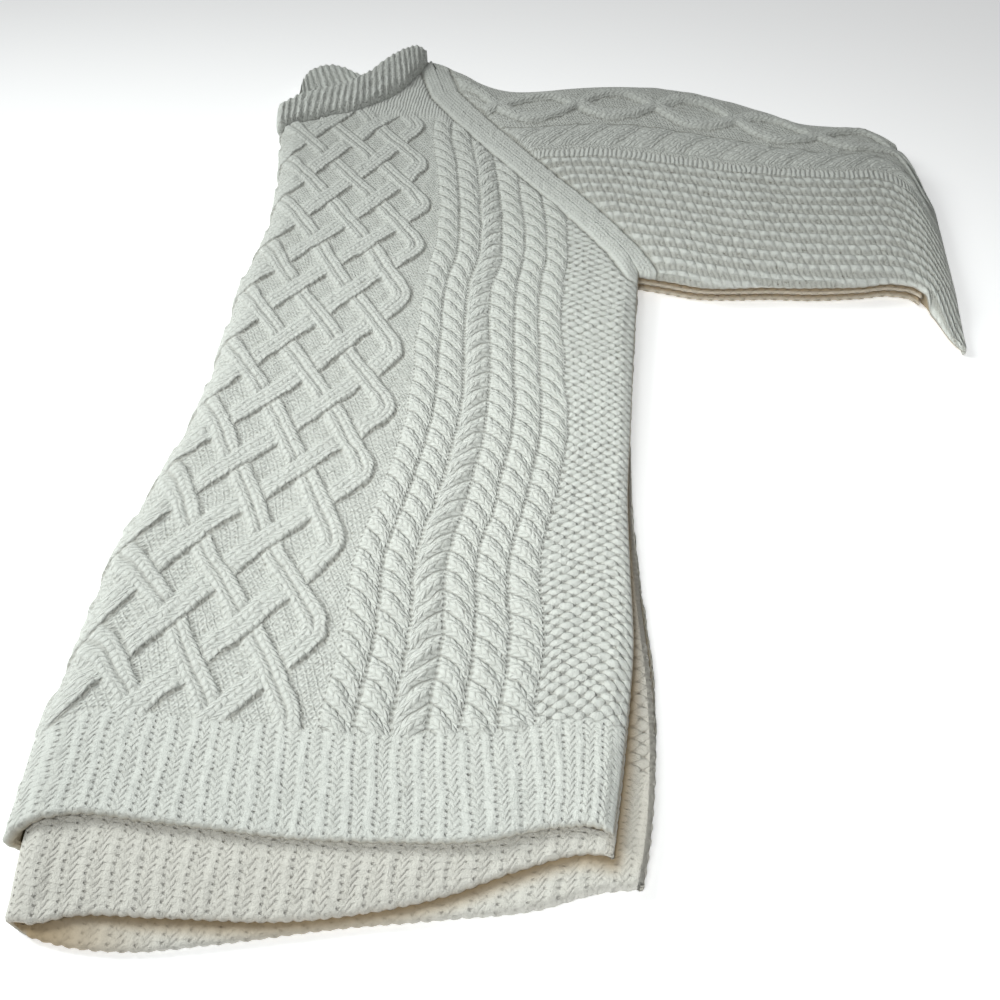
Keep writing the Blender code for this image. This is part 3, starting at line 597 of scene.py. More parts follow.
def cut_at_seam(points, beyond):
    """First and last row of each line that isn't beyond a seam, with the end point moved onto the seam."""
    rows = points.shape[1]
    keep = np.tile((0, rows - 1), (len(points), 1))
    for line, passed in enumerate(beyond):
        for end, step in ((0, 1), (1, -1)):
            if passed[keep[line, end]] <= 0:
                continue
            inside = np.flatnonzero(passed <= 0)
            j = int(inside[0] if end == 0 else inside[-1]) if len(inside) else int(np.argmin(passed))
            out = j - step
            if len(inside):
                f = passed[out] / (passed[out] - passed[j])
                points[line, out] = mix(points[line, out], points[line, j], f)
            else:
                out = j
            keep[line, end] = out
    return keep


# Rows of the rounded edge: share of the way from the inside to the outside, and height over the hem.
EDGE_SHARE = np.array((0.02, 0.15, 0.35, 0.6, 0.82, 1.0))
EDGE_RISE = 2.0 * (1.0 - np.sqrt(1.0 - (2.0 * EDGE_SHARE - 1.0) ** 2))
EDGE_INSIDE = 1.44 + 0.05 * np.arange(len(EDGE_SHARE))     # height of the same rows on the inside


def edge_rows(last, more_rows=0):
    """Heights of the rows, outside and inside, and each row's share of the way from inside to outside."""
    plain = np.arange(ROW, last, ROW / 2)
    share = np.r_[EDGE_SHARE, np.ones(len(plain) + more_rows)]
    return np.r_[EDGE_RISE, plain], np.r_[EDGE_INSIDE, plain], share


lines, stitch_places, seam_places = [], [], []      # of the piece being made


def add_line(x, y, z, across, along, shade):
    """Keep one line of points with its stitch coordinates; shade is 1 where no light gets in."""
    x, y, z, across, along, shade = (np.broadcast_to(v, np.shape(y)).astype(float)
                                     for v in (x, y, z, across, along, shade))
    distance, seam_along = raglan_place(x, y)
    lines.append(np.stack((x, y, z), -1))
    stitch_places.append(np.stack((across, along, shade), -1))
    seam_places.append(np.stack((distance, seam_along, gathered(x, y)), -1))


def sewn_cloth(name, beyond, outer_lines):
    """Cloth of the lines kept so far, cut at the seam where beyond(x, y) is over 0."""
    points = np.array(lines)
    keep = cut_at_seam(points, beyond(points[..., 0], points[..., 1]))
    made = cloth(name, points, np.array(stitch_places), np.array(seam_places), keep, outer_lines)
    for kept in (lines, stitch_places, seam_places):
        kept.clear()
    return made

# %% [markdown]
# ## Front
# The front is one knitted panel: a ribbed welt, then the trellis, six ropes and moss stitch up to the
# side seam. It is folded on its centre line round the back, so its lines of points run below, round the
# fold and over the top, and its plain inside follows 4 to 5 mm within. The rows are half a row of
# stitches apart and the lines a quarter of a stitch, so that ridges and gaps each get a point.

# %% Relief of the front


def welt_relief(across, along):
    """Ribs of the welt: a raised smooth column and loops."""
    raised = fall(rib_side(across / RIB), 0.2, 0.5)
    return raised * 0.3 + rib(across / RIB, along / ROW) * 0.95


def raglan_relief(pattern, distance):
    """The pattern ends in a plain raised band on each side of the raglan seam, with grooves."""
    band = fall(distance, RAGLAN_BAND - 0.5, RAGLAN_BAND + 2.0)
    lift = mix(pattern, 1.2 - ramp(distance, 6.0, 12.0) * 0.3, band)
    return lift - groove(distance, RAGLAN_BAND + 0.8, 3.0) * 1.7


def front_relief(across, along, distance, gather):
    bands = trellis_height(across, along)
    ground = (purl(across / STITCH, along / ROW) - 0.6) * 0.5 + 0.5
    trellis = bands * 2.35 + ground * (1.0 - bands)
    ropes = rope_height(across, along) * 3.3
    knots = moss(across / MOSS_KNOT, along / ROW) * 1.3 + 0.2
    lift = np.where(across < ROPE_START, trellis, np.where(across < ROPE_END, ropes, knots))
    lift = mix(lift, abs(sine(across / GATHER_RIB)) * 0.7 + 1.0, gather)
    lift = mix(welt_relief(across, along), lift, ramp(along, -4.0, -0.5))
    return raglan_relief(lift, distance)


# %% Build the front
FRONT_BASE = -688.0     # y of the hem without its waves
EDGE_COLUMN = 300.0     # stitch column given to side edges and hidden lines, which are all moss stitch
UNDER_EDGE = ((-0.1, 4.4), (0.0, 3.3), (0.0, 2.2), (-0.7, 1.1), (-2.0, 0.4), (-5.0, 0.0))   # out, z
LOWER_SHARES = (0.75, 0.5, 0.25)        # places between the fold and the lower side seam
CEILING_SHARES = (1, 0.94, 0.88, 0.82, 0.75, 0.67, 0.58, 0.5, 0.43, 0.37, 0.32, 0.28, 0.23, 0.17, 0.11, 0.05)
SIDE_SHARES = np.r_[np.linspace(0.01, 0.9, 34), (0.92, 0.94, 0.955, 0.97, 0.98, 0.99, 0.997, 1.0)]
SIDE_HEIGHTS = ((0, 0.1, 0.75, 0.84, 0.93, 0.97, 0.99, 1.0),                # share, z
                (18.0, 18.2, 18.4, 18.2, 17.4, 16.6, 15.8, 14.9))

heights, inside_heights, edge_share = edge_rows(733.0)
edge_shade = (1 - edge_share) * 0.8
y_plain = FRONT_BASE + heights
fold = body("fold", y_plain) + 2.0
fold_end = fold + FOLD_DEPTH
side_seam, lower_seam, spread = (body(column, y_plain) for column in ("side", "under", "spread"))
along_front = heights - RIB_HEIGHT - 3.0
middle = (FRONT_INSIDE + LAYER) / 2


def front_row(x, edge="front", height=heights):
    """y of the rows of stitches: they follow the hem below and are straight above."""
    return FRONT_BASE + height + (hem(edge, x) - FRONT_BASE) * fall(height, RIB_HEIGHT, HEM_FADE)


def edge_bumps(across, height):
    """The cast-on edge is a row of knots."""
    return 0.9 * abs(np.sin(across * math.pi / CAST_ON_KNOT)) * fall(height, 1.5, 7.0)


def front_stitches(x, across, hem_x=None, bumps=1.0):
    """y and stitch coordinates of a line of the front, and how far its stitches stand out."""
    y = front_row(x if hem_x is None else hem_x) - edge_bumps(across, heights) * bumps
    over, up = wander(across, y, across, along_front)
    return y, over, up, front_relief(over, up, raglan_place(x, y)[0], gathered(x, y)) + lumpy(across, y)


def inside_fold(angle):
    """x and z of the inside of the front's fold."""
    return (fold_end - (FOLD_DEPTH - FOLD_WALL) * np.sin(angle),
            middle + (FRONT_INSIDE - middle) * np.cos(angle))


for offset, z in UNDER_EDGE:
    column = EDGE_COLUMN + z * 2.4
    knots = 1.2 * moss(column / MOSS_KNOT, along_front / ROW) - 0.6 + lumpy(EDGE_COLUMN + z * 2.0, y_plain)
    x = lower_seam + offset + knots * (z > 1.0)
    add_line(x, front_row(x, "front under"), mix(LAYER, z, edge_share), column, along_front, 0.2)
for share in LOWER_SHARES:
    x = mix(fold_end, lower_seam, share)
    add_line(x, front_row(x, "front under"), mix(LAYER, 0.0, edge_share), EDGE_COLUMN, along_front, 0.3)

quarter = math.pi / 2 * math.sqrt((FOLD_DEPTH**2 + (FRONT_TOP / 2) ** 2) / 2)   # round the fold, to its edge
fold_lines = np.r_[np.arange(-24.0, -9.0, STITCH / 2), np.arange(-9.0, FOLD_DEPTH, STITCH / 4)]
for across in fold_lines:
    angle = min((FOLD_DEPTH - across) / quarter * math.pi / 2, math.pi)
    x = fold_end - FOLD_DEPTH * math.sin(angle)
    y, over, up, lift = front_stitches(x, across, x if angle < math.pi / 2 else fold)
    top = FRONT_TOP + swell(fold + max(across, 0.0), y)
    lift = lift * fall(angle, 1.7, 2.6)
    outer_z = top / 2 + (top / 2 + lift) * math.cos(angle)
    inner_x, inner_z = inside_fold(angle)
    x = mix(inner_x, x - lift * math.sin(angle), edge_share)
    add_line(x, y, mix(inner_z, outer_z, edge_share), over, up, edge_shade)
for across in np.arange(fold_lines[-1] + STITCH / 4, ROPE_END, STITCH / 4):
    x = fold_end + spread * (across - FOLD_DEPTH)
    y, over, up, lift = front_stitches(x, across)
    add_line(x, y, mix(FRONT_INSIDE, FRONT_TOP + swell(x, y) + lift, edge_share), over, up, edge_shade)
rope_side = fold_end + spread * (ROPE_END - FOLD_DEPTH)
for share in SIDE_SHARES:
    x = mix(rope_side, side_seam, share)
    across = ROPE_END + share * MOSS_WIDTH
    y, over, up, lift = front_stitches(x, across, bumps=share < 0.95)
    lift = lift * (1.0 - 0.85 * ramp(share, 0.82, 0.98))
    top = np.interp(share, *SIDE_HEIGHTS) + swell(x, y) * fall(share, 0.75, 0.95)
    shade = np.maximum(edge_shade, ramp(share, 0.98, 1.0) * 0.6)
    add_line(x, y, mix(FRONT_INSIDE, top + lift, edge_share), over, up, shade)
outer_count = len(lines)
for share in CEILING_SHARES:
    x = mix(fold_end, side_seam - 2.0, share)
    add_line(x, front_row(x, height=inside_heights), FRONT_INSIDE, EDGE_COLUMN, along_front, 1.0)
for angle in np.radians((0, 30, 60, 90, 120, 150, 180)):
    x, z = inside_fold(angle)
    y = front_row(x if angle < 1.6 else fold, height=inside_heights)
    add_line(x, y, z, EDGE_COLUMN, along_front, 1.0)
for share in (*reversed(LOWER_SHARES), 1.0):
    x = mix(fold_end, lower_seam - 2.0, share)
    add_line(x, front_row(x, "front under", inside_heights), LAYER, EDGE_COLUMN, along_front, 1.0)


def beyond_body(x, y):
    """Over 0 where the front or back would reach past its neckline or raglan seam."""
    return y - seam_limit(x)


front_cloth = sewn_cloth("front_cloth", beyond_body, outer_count)

# %% [markdown]
# ## Back
# The back is folded inside the front, so only its ribbed welt shows below the front's. Its two layers
# meet in a narrow opening at the hem, where the inside of the lower one shows. It is made like the
# front, as one wall bent round a thin gap, with fine rows of points only where it shows.

# %% Build the back
BACK_RADIUS, BACK_HOLLOW = 10.0, 5.6    # outside and inside of the back's fold
BACK_CENTRE = 18.0                      # its middle, from the front's fold
BACK_START = -690.0                     # a line's x at this y tells where on the hem it starts
FOLD_HEM = -703.0                       # y of the front's hem at its fold
BACK_PART, SLEEVE_PART = 900.0, 500.0   # these pieces use other stretches of the uneven tables
WELT_WIDTH = 236.0                      # of one layer, in stitch coordinates
straight_rows = np.array((-529, -470, -408, -339, -271, -240, -201, -139, -78, -20, 46.0))
back_heights, hidden_heights, back_share = edge_rows(130.0, len(straight_rows))
along_back = np.r_[back_heights, straight_rows + 700.0]


def at_hem(x, by_fold, by_side):
    """Height at the hem: low on the table by the fold, higher at the side seam."""
    return mix(by_fold, by_side, ramp(x, 50, 128))


def back_levels(x, y):
    """Heights of the four surfaces: bottom, top of the lower layer, underside and top of the upper one."""
    shown_to = np.where(x > -110, hem("front", x) + 2.0, FOLD_HEM)
    shown = (y - hem("back", x)) / (shown_to - hem("back", x))
    upper = np.interp(shown, (0, 0.09, 0.5, 0.88, 1.0), (0.0, 0.15, 0.55, 0.9, 1.0))
    under = hem("front under", x)
    lower = ramp(y, under - 8.0, under + 13.0)
    mouth = fall(y, -735.0, -705.0) * fall(x, -60.0, 40.0)
    bottom = lower * 5.0
    lower_top = mix(at_hem(x, 4.3, 7.6) - mouth * 0.9, 9.1, lower)
    underside = mix(at_hem(x, 4.9, 9.0) + mouth * 0.5, 9.5, upper)
    top = mix(at_hem(x, 8.8, 12.2), CORE_TOP, upper)
    return bottom, lower_top, underside, top, shown


def mouth_shade(x, y):
    """Shade on the inside of the lower layer: deeper under the upper hem and towards the fold."""
    return highest(ramp(y - hem("back", x), -11.0, 1.0), fall(x, -116.0, -40.0))


def hem_start(place, edge):
    """y where a line starts; edge is 0 on the upper layer and 1 on the lower one."""
    x = place(np.array(BACK_START))
    return mix(hem("back", x), hem("back under", x), edge)


def back_line(place, edge, across, kind):
    """One line of the back. kind is bottom, lower top, underside or top, or a number from bottom to top."""
    hidden = kind in ("bottom", "underside")
    rise = hidden_heights if hidden else back_heights - edge_bumps(across, back_heights)
    y = np.r_[hem_start(place, edge) + rise, straight_rows]
    x = place(y)
    bottom, lower_top, underside, top, shown = back_levels(x, y)
    over, up = wander(across, y + BACK_PART, across, along_back)
    relief = (welt_relief(over, up) + lumpy(across, y + BACK_PART)) * fall(shown, 0.6, 0.9)
    if kind == "bottom":
        z, shade = bottom, 0.3
    elif kind == "underside":
        z, shade = underside, 1.0
    elif kind == "lower top":
        beyond_side = x - body("side", y)
        relief = relief * np.where(y < hem("back", x) + 4.0, 1.0, ramp(beyond_side, -4.0, 0.0))
        z = mix(bottom, lower_top + relief * 0.8, back_share)
        shade = mouth_shade(x, y) * (1.0 - ramp(beyond_side, -1.0, 7.0) * 0.85)
    elif kind == "top":
        z = mix(underside, top + relief - 0.6, back_share)
        shade = (1 - back_share) * 0.8
    else:
        z = mix(bottom, lower_top, kind) if edge == 1.0 else mix(underside, top, kind)
        x = x + (moss(across / MOSS_KNOT, up / ROW) * 1.2 - 0.9) * ramp(kind, 0.0, 0.3)
        shade = 0.15
    add_line(x, y, np.minimum(z, CORE_TOP), over, up, shade)


def back_middle(y):
    """x of the middle of the back's fold."""
    return body("fold", y) + BACK_CENTRE + 4.0 * ramp(-y, 700.0, 735.0)


def back_arc(angle, radius, inner):
    """Line round the fold of the back: its height swings from the top layer's to the lower one's."""
    def place(y):
        return back_middle(y) - radius * math.sin(angle)

    across = -radius * angle
    start = hem_start(place, float(ramp(angle, math.pi / 2, math.pi)))
    y = np.r_[start + back_heights, straight_rows]
    x = place(y)
    bottom, lower_top, underside, top, shown = back_levels(x, y)
    relief = (welt_relief(across, along_back) - 0.6) * fall(shown, 0.6, 0.9) * fall(angle, 1.7, 2.8)
    swing = (1.0 + math.cos(angle)) / 2
    outside_z = mix(bottom, top, swing) + relief * math.cos(angle)
    inside_z = mix(lower_top, underside, swing)
    outside_x, inside_x = x - relief * math.sin(angle), back_middle(y) - BACK_HOLLOW * math.sin(angle)
    rounding = float(fall(angle, 2.1, 3.1))
    if inner:
        share = mix(1.0, back_share, 1.0 - rounding)
        z, x = mix(outside_z, inside_z, share), mix(outside_x, inside_x, share)
        add_line(x, y, z, across, along_back, share * mouth_shade(x, y))
    else:
        share = mix(1.0, back_share, rounding)
        z, x = mix(inside_z, outside_z, share), mix(inside_x, outside_x, share)
        add_line(x, y, np.clip(z, 0, CORE_TOP), across, along_back, (1 - share) * 0.8)


def side_place(column, offset):
    return lambda y: body(column, y) + offset


def between(share, column, inset):
    """Place between the fold and a side seam."""
    return lambda y: mix(back_middle(y), body(column, y) - inset, share)


for offset, kind in ((-0.6, 0.9), (0.0, 0.6), (-0.4, 0.3), (-1.6, 0.08)):
    back_line(side_place("under", offset), 1.0, EDGE_COLUMN + kind * 9.0, kind)
for share in np.linspace(1.0, 0.0, 36)[:-1]:
    back_line(between(share, "under", 4.0), 1.0, 0.0, "bottom")
for angle in np.radians(np.arange(180.0, -1.0, -7.5)):
    back_arc(angle, BACK_RADIUS, False)
for share in np.linspace(0.0, 1.0, 150)[1:]:
    back_line(between(share, "side", 5.0), 0.0, share * WELT_WIDTH, "top")
for offset, kind in ((-2.5, 0.97), (-1.0, 0.85), (-0.2, 0.6), (-0.2, 0.35), (-1.2, 0.1)):
    back_line(side_place("side", offset), 0.0, 240.0 - kind * 8.0, kind)
outer_count = len(lines)
for share in np.linspace(1.0, 0.0, 41)[:-1]:
    back_line(between(share, "side", 5.0), 0.0, 0.0, "underside")
for angle in np.radians(np.arange(0.0, 181.0, 15.0)):
    back_arc(angle, BACK_HOLLOW, True)
for share in np.linspace(0.0, 1.0, 150)[1:]:
    back_line(between(share, "under", 3.0), 1.0, share * WELT_WIDTH, "lower top")
back_cloth = sewn_cloth("back_cloth", beyond_body, outer_count)

# %% [markdown]
# ## Sleeves
# A raglan sleeve is knitted from the cuff up. Along its top run a cable that waves and a rope, and
# below is moss stitch. The two sleeves lie on each other, with the forearms turned under at the
# right. The upper one's wall reaches over the hidden layers and turns down to the table at its end.

# %% Relief of the sleeve
WAVE_FIRST, WAVE_PITCH, WAVE_MIDDLE, WAVE_SWING = 138.0, 66.0, 66.5, 18.0
SLEEVE_ROPE_LOW, SLEEVE_ROPE_HIGH, SLEEVE_TWIST = 4.7, 34.0, 27.0
SLEEVE_PANEL = 95.0     # width of the cables, from the moss stitch to the fold
SLEEVE_KNOT, SLEEVE_KNOT_ROW = 7.6, 12.4


def nearest_strand(across, along):
    """Distance from the middle of the nearer one of the wave's two strands, which cross and part."""
    swing = sine((along - WAVE_FIRST) / (WAVE_PITCH * 2.0)) * WAVE_SWING
    return lowest(abs(across - WAVE_MIDDLE - swing), abs(across - WAVE_MIDDLE + swing))


def sleeve_rope_place(across, along):
    place = (across - SLEEVE_ROPE_LOW) / (SLEEVE_ROPE_HIGH - SLEEVE_ROPE_LOW)
    inside = ramp(place, -0.02, 0.02) * fall(place, 0.98, 1.02)
    return place, (along / SLEEVE_TWIST - place * 0.85) % 1.0, inside


def sleeve_rope_height(across, along):
    place, twist, inside = sleeve_rope_place(across, along)
    crease = fall(edge_distance(twist), 0.03, 0.28)
    return (highest(sine(place / 2.0), 0.001) ** 0.5 - crease * 0.4) * inside


def sleeve_moss(across, along):
    """Rows of knots along the sleeve; between two rows slanted strokes lie deeper."""
    row = across / SLEEVE_KNOT_ROW
    place = row % 1.0
    turn = along / SLEEVE_KNOT + whole(row) * 0.5 + place * 0.5
    knots = abs(sine(turn / 2.0)) ** 0.7
    strokes = abs(sine(turn)) * 0.3 - 0.15
    return mix(strokes, knots * 0.5 + 0.5, fall(abs(place - 0.58), 0.1, 0.4))


def sleeve_relief(across, along, distance):
    wave = fall(nearest_strand(across, along), 3.4, 9.6)
    cables = highest(wave * 3.4, sleeve_rope_height(across, along) * 2.8)
    knots = sleeve_moss(across, along) * 1.7
    border = ramp(across, -12.0, -10.0) * fall(across, -3.0, 2.0)
    strokes = abs(sine(along / SLEEVE_KNOT)) * 0.5 + 0.3
    lift = np.where(across > 0, cables + 0.4, mix(knots, strokes, border))
    lift = lift + fall(abs(across - 1.0), 0.8, 3.0) * 0.9
    return raglan_relief(lift, distance)


# %% Build the upper sleeve
LIP = SLEEVE_SPLIT + 0.3                      # lowest edge of the upper sleeve
NEAR_RIM = (                                  # in from the edge, height over the lip
    (5.0, 0.0), (2.6, 0.3), (1.2, 1.0), (0.4, 2.0), (0.0, 3.2), (0.2, 4.2), (0.9, 5.4), (2.2, 6.6))
FAR_RIM = (
    (-6.0, 7.2), (-4.0, 6.9), (-2.2, 6.0), (-0.9, 4.9), (-0.2, 3.6), (0.0, 2.6), (-0.8, 1.4),
    (-2.4, 0.5), (-5.0, 0.0))
sleeve_rows = np.r_[np.arange(-64.0, 300.0, 1.3), np.arange(300.0, 345.0, 1.1), np.arange(345.0, 357.0, 0.6)]
turn_down = np.linspace(0.0, 1.0, 7)          # rows round the end, from the roll to the table
sleeve_x = np.r_[sleeve_rows, np.full(len(turn_down), SLEEVE_END)]
turned = np.r_[np.zeros(len(sleeve_rows)), turn_down]
end_inset = 1.6 * turned**3


def rolled(x, height, end_height):
    """Height of a surface that turns down towards the sleeve's end."""
    f = np.clip((x - SLEEVE_ROLL) / (SLEEVE_END - SLEEVE_ROLL), 0, 1)
    return end_height + (height - end_height) * np.sqrt(1 - f * f)


def corner(x, y):
    """How far a point lies in the corner that sticks out at the sleeve's turned end."""
    return ramp(-y, 228.0, 285.0) * ramp(x, 322.0, 345.0)


def along_sleeve(y):
    """Length along a line: its x up to the roll, then its true length."""
    length = length_along(np.stack((sleeve_x, y), -1))
    at_roll = np.interp(SLEEVE_ROLL, sleeve_rows, length[:len(sleeve_rows)])
    return np.where(sleeve_x < SLEEVE_ROLL, sleeve_x, SLEEVE_ROLL + length - at_roll)


def sleeve_line(y, across, height, relief=1.0, rim=False, shade=0.0):
    x = sleeve_x
    along = along_sleeve(y)
    distance = raglan_place(x, y)[0]
    over, up = wander(x, y + SLEEVE_PART, across, along)
    if rim:
        down = ramp(x, HOLLOW_END, HOLLOW_END + 6)
        z = mix(height, np.maximum(height - LIP, 0.0) * 0.8 + 0.8, down)
        z = np.minimum(z, rolled(x, 30.0, ROLL_HEIGHT) * mix(1.0, 0.5, corner(x, y)))
    else:
        lift = sleeve_relief(over, up, distance) * (1.0 - ramp(x, 345.0, 357.0) * 0.6)
        lift = (lift + lumpy(x, y + SLEEVE_PART)) * relief
        sleeve_side = height + swell(x, y) * 0.7 + lift
        seam_side = FRONT_TOP + swell(x, y) + lift - (1.0 - relief) * 1.2
        z = rolled(x, mix(seam_side, sleeve_side, ramp(distance, 4.0, 26.0)), ROLL_HEIGHT)
        z = mix(z, np.minimum(z, 5.5), corner(x, y))
    z = mix(z, 0.35, turned)
    add_line(x - end_inset, y, z, over, up, shade)


near, far, border = sleeve("near", sleeve_x), sleeve("far", sleeve_x), sleeve("border", sleeve_x)
wobble = 0.7 * np.sin(sleeve_x / 11.0) * np.sin(sleeve_x / 27.0 + 1.0)
for offset, height in NEAR_RIM:
    knots = 0.8 * (1.0 - abs(np.sin(math.pi * sleeve_x / SLEEVE_KNOT))) * (0.5 < height < 6.0)
    sleeve_line(near + offset + wobble * (offset < 4) + knots, near - border - (6.6 - height) * 1.2,
                LIP + height, rim=True, shade=fall(height, 0.0, 3.0))
for share in np.linspace(0.03, 1.0, 96):
    y = mix(near, border, share)
    height = 20.0 - 1.6 * fall(share, 0.02, 0.12)
    sleeve_line(y, y - border, height, relief=float(ramp(share, -0.02, 0.12)))
for share in np.linspace(0.0, 1.0, 66)[1:]:
    y = mix(border, far - 8.0, share)
    height = 20.0 - 2.0 * ramp(share, 0.85, 1.0)
    sleeve_line(y, share * SLEEVE_PANEL + 0.01, height, relief=float(1.0 - ramp(share, 0.9, 1.0) * 0.7))
far_wave = 1.1 * uneven(sleeve_x, 0.0, 17.0, 7)
for offset, height in FAR_RIM:
    y = far + offset + far_wave * (offset > -3.0)
    sleeve_line(y, SLEEVE_PANEL + 8.0 + offset, LIP + height, rim=True)
outer_count = len(lines)


def hollow_inset(column, x):
    """How far in from the sleeve's edge its hollow ends."""
    return 9.0 if column == "near" else -9.0 - 14.0 * ramp(x, 305.0, HOLLOW_END)


hidden = sleeve_x < HOLLOW_END + 0.5
x = np.minimum(sleeve_x, 355.2) - 0.2 * (1 - turned) * ~hidden
hollow_near, hollow_far = (sleeve(edge, x) + hollow_inset(edge, x) for edge in ("near", "far"))
hollow_lines = (        # place from the near side to the far one, farther in at the end, height
    (1.0, 0.0, LIP), (1.0, -20.0, FRONT_INSIDE),
    *((share, 0.0, FRONT_INSIDE) for share in (0.8, 0.6, 0.4, 0.2)),
    (0.0, 30.0, FRONT_INSIDE), (0.0, 0.0, LIP))
for share, farther_in, height in hollow_lines:
    y = mix(hollow_near, hollow_far, share) + farther_in * ~hidden
    add_line(x, y, np.where(hidden, height, 0.1), 0.0, sleeve_x, 1.0)


def beyond_raglan(x, y):
    """Over 0 where a sleeve would reach past its seam with the front, a hair's breadth from it."""
    seam_x, seam_y = np.array(RAGLAN[0]) + 0.04, np.array(RAGLAN[1]) + 0.03
    return np.where(x > seam_x[-1], -1.0, np.interp(x, seam_x, seam_y) - y)


sleeve_cloth = sewn_cloth("right_sleeve_cloth", beyond_raglan, outer_count)

# %% [markdown]
# ## Lower sleeve
# Of the lower sleeve only the edge shows: the underarm side of its two layers, knotted and a little
# apart. Its section is a closed curve, and its lines of points run along the sleeve.

# %% Build the lower sleeve
lower_x = np.arange(-64.0, HOLLOW_END - 0.5, 1.9)
near_side = (  # in from the edge, height
    (12.0, 0.0), (6.0, 0.0), (3.0, 0.2), (1.6, 0.6), (0.8, 1.3), (0.4, 2.3), (1.0, 3.3), (2.8, 4.2),
    (5.0, 4.8), (6.5, 5.0), (5.0, 5.2), (2.8, 5.7), (1.2, 6.5), (0.6, 7.6), (1.3, 8.7), (2.6, 9.5),
    (4.0, 9.9), (7.0, 10.1))
far_side = (
    (10.0, 10.0), (3.0, 9.8), (1.0, 9.0), (0.0, 7.4), (1.0, 6.0), (4.0, 4.9), (1.2, 3.8), (0.4, 2.4),
    (1.4, 0.8), (3.5, 0.0))


def lower_line(column, inset, z, across, bumps=0.0, hollow=0.0):
    """Line along the lower sleeve, in from its edge; with hollow it follows the upper sleeve's inside."""
    y = sleeve(column, lower_x)
    way = 1.0 if column == "near" else -1.0
    y = y + way * inset + hollow * hollow_inset(column, lower_x)
    knots = bumps * (abs(np.sin(math.pi * (lower_x / SLEEVE_KNOT + (z > 5.0) * 0.5))) ** 0.7 - 1.0)
    hidden_from_light = 0.75 if z > 9 or 3.9 < z < 6 else 0.3
    add_line(lower_x, y - way * knots, np.full(len(lower_x), z), across, lower_x, hidden_from_light)


for i, (inset, z) in enumerate(near_side):
    lower_line("near", inset, z, i * 1.6, 1.6 * (0.5 < z < 9.2))
for column, z in (("near", SLEEVE_SPLIT), ("near", CORE_TOP), ("far", CORE_TOP), ("far", SLEEVE_SPLIT)):
    lower_line(column, 1.5, z, 20.0, hollow=1.0)
for i, (inset, z) in enumerate(far_side):
    lower_line("far", inset, z, i * 1.6)
lower_cloth = sewn_cloth("left_sleeve_cloth", beyond_raglan, len(lines) // 2)

# %% [markdown]
# ## Neckband
# The neckband is a ribbed strip sewn round the neck. Folded in half with the garment it stands up a
# little, and its back half shows beyond the front half. Its section is a table of points, smoothed,
# and is carried round the neckline with a rib every ten sections.

# %% Build the neckband
NECK_RIBS, NECK_CREST, NECK_BULGE = 24, 29.0, 6.0
RIB_SECTIONS = 10
NECK_LAST = NECK_RIBS * 2               # sections are counted in columns of the rib
ROUNDED_END = np.array((0.45, 0.75, 0.9))
BACK_POINTS = ((3.2, 13.2), (0.8, 11.0), (0, 7.6), (1.0, 3.0), (3.5, 0.2), (9.0, 0.0))  # in from the rim, z
profile_share = np.linspace(0.0, 1.0, 64)
section_places = np.r_[-ROUNDED_END[::-1], np.arange(0, NECK_LAST + 0.01, 2.0 / RIB_SECTIONS),
                       NECK_LAST + ROUNDED_END]
sections, section_stitches = [], []
for i in section_places:
    place = np.clip(i / NECK_LAST, 0, 1) * NECK_END
    seam, rim, back_edge = (np.array(neck(line, place)) for line in NECK)
    outward = (rim - seam) / np.linalg.norm(rim - seam)
    away = (back_edge - seam) / np.linalg.norm(back_edge - seam)
    seam = seam + outward * 0.6
    beyond_end = max(-i, i - NECK_LAST, 0.0)
    squeeze = math.sqrt(max(1.0 - beyond_end**2, 0.0)) * 0.9 + 0.1
    bulge = (2.0 + NECK_BULGE * np.sin(math.pi * profile_share)) * beyond_end * (i < 0)
    width = np.linalg.norm(rim - seam)
    crest = mix(24.0, NECK_CREST, ramp(width, 8.0, 34.0))
    front_points = ((0, 0.0), (0, 12.0), (0, FRONT_TOP + 0.2), (0.12, mix(FRONT_TOP, crest, 0.45)),
                    (0.42, mix(FRONT_TOP, crest, 0.8)), (0.75, crest), (0.93, crest - 1.2))
    rim_points = ((0, crest - 5.0), (1.2, 17.4), (2.2, 14.2))
    corners = np.array([(*(seam + outward * width * share), z) for share, z in front_points]
                       + [(*(rim - outward * inset), z) for inset, z in rim_points]
                       + [(*(back_edge - away * inset), z) for inset, z in BACK_POINTS])
    reach = length_along(corners)
    t = profile_share * reach[-1]
    ring = np.stack([curve(t, reach, corners[:, k]) for k in range(3)], -1)
    ring[:, 2] = np.clip(ring[:, 2], 0.0, None)
    way = np.gradient(ring, axis=0)
    up = way[:, :2] @ outward
    normal = np.concatenate((way[:, 2, None] * -outward[None, :], up[:, None]), 1)
    normal /= np.maximum(np.linalg.norm(normal, axis=1), 1e-6)[:, None]
    raised = 1.0 - float(ramp(rib_side(np.array(i / 2.0 + 0.5)), 0.25, 0.75))
    shown = ramp(t, 20.0, 26.0) * ramp(ring[:, 2], 2.0, 8.0)
    loops = abs(np.sin(math.pi * t / 3.3)) * (1.0 - raised) * 0.5
    ring = ring + normal * ((raised * 1.3 + loops + lumpy(i * 3.0, t)) * shown)[:, None]
    ring[:, 2] = 9.0 + (ring[:, 2] - 9.0) * squeeze
    ring[:, 0] -= bulge
    sections.append(ring)
    section_stitches.append(np.stack((np.full(len(t), i / 2.0 + 0.5), t, np.zeros(len(t))), -1))

# Each section is closed, so the grid is turned: its lines of points run round the neck.
points, stitches = (np.array(kept).transpose(1, 0, 2) for kept in (sections, section_stitches))
keep = np.tile((0, points.shape[1] - 1), (len(points), 1))
neck_cloth = cloth("neckband_cloth", points, stitches, np.zeros(points.shape), keep, len(points) // 2)

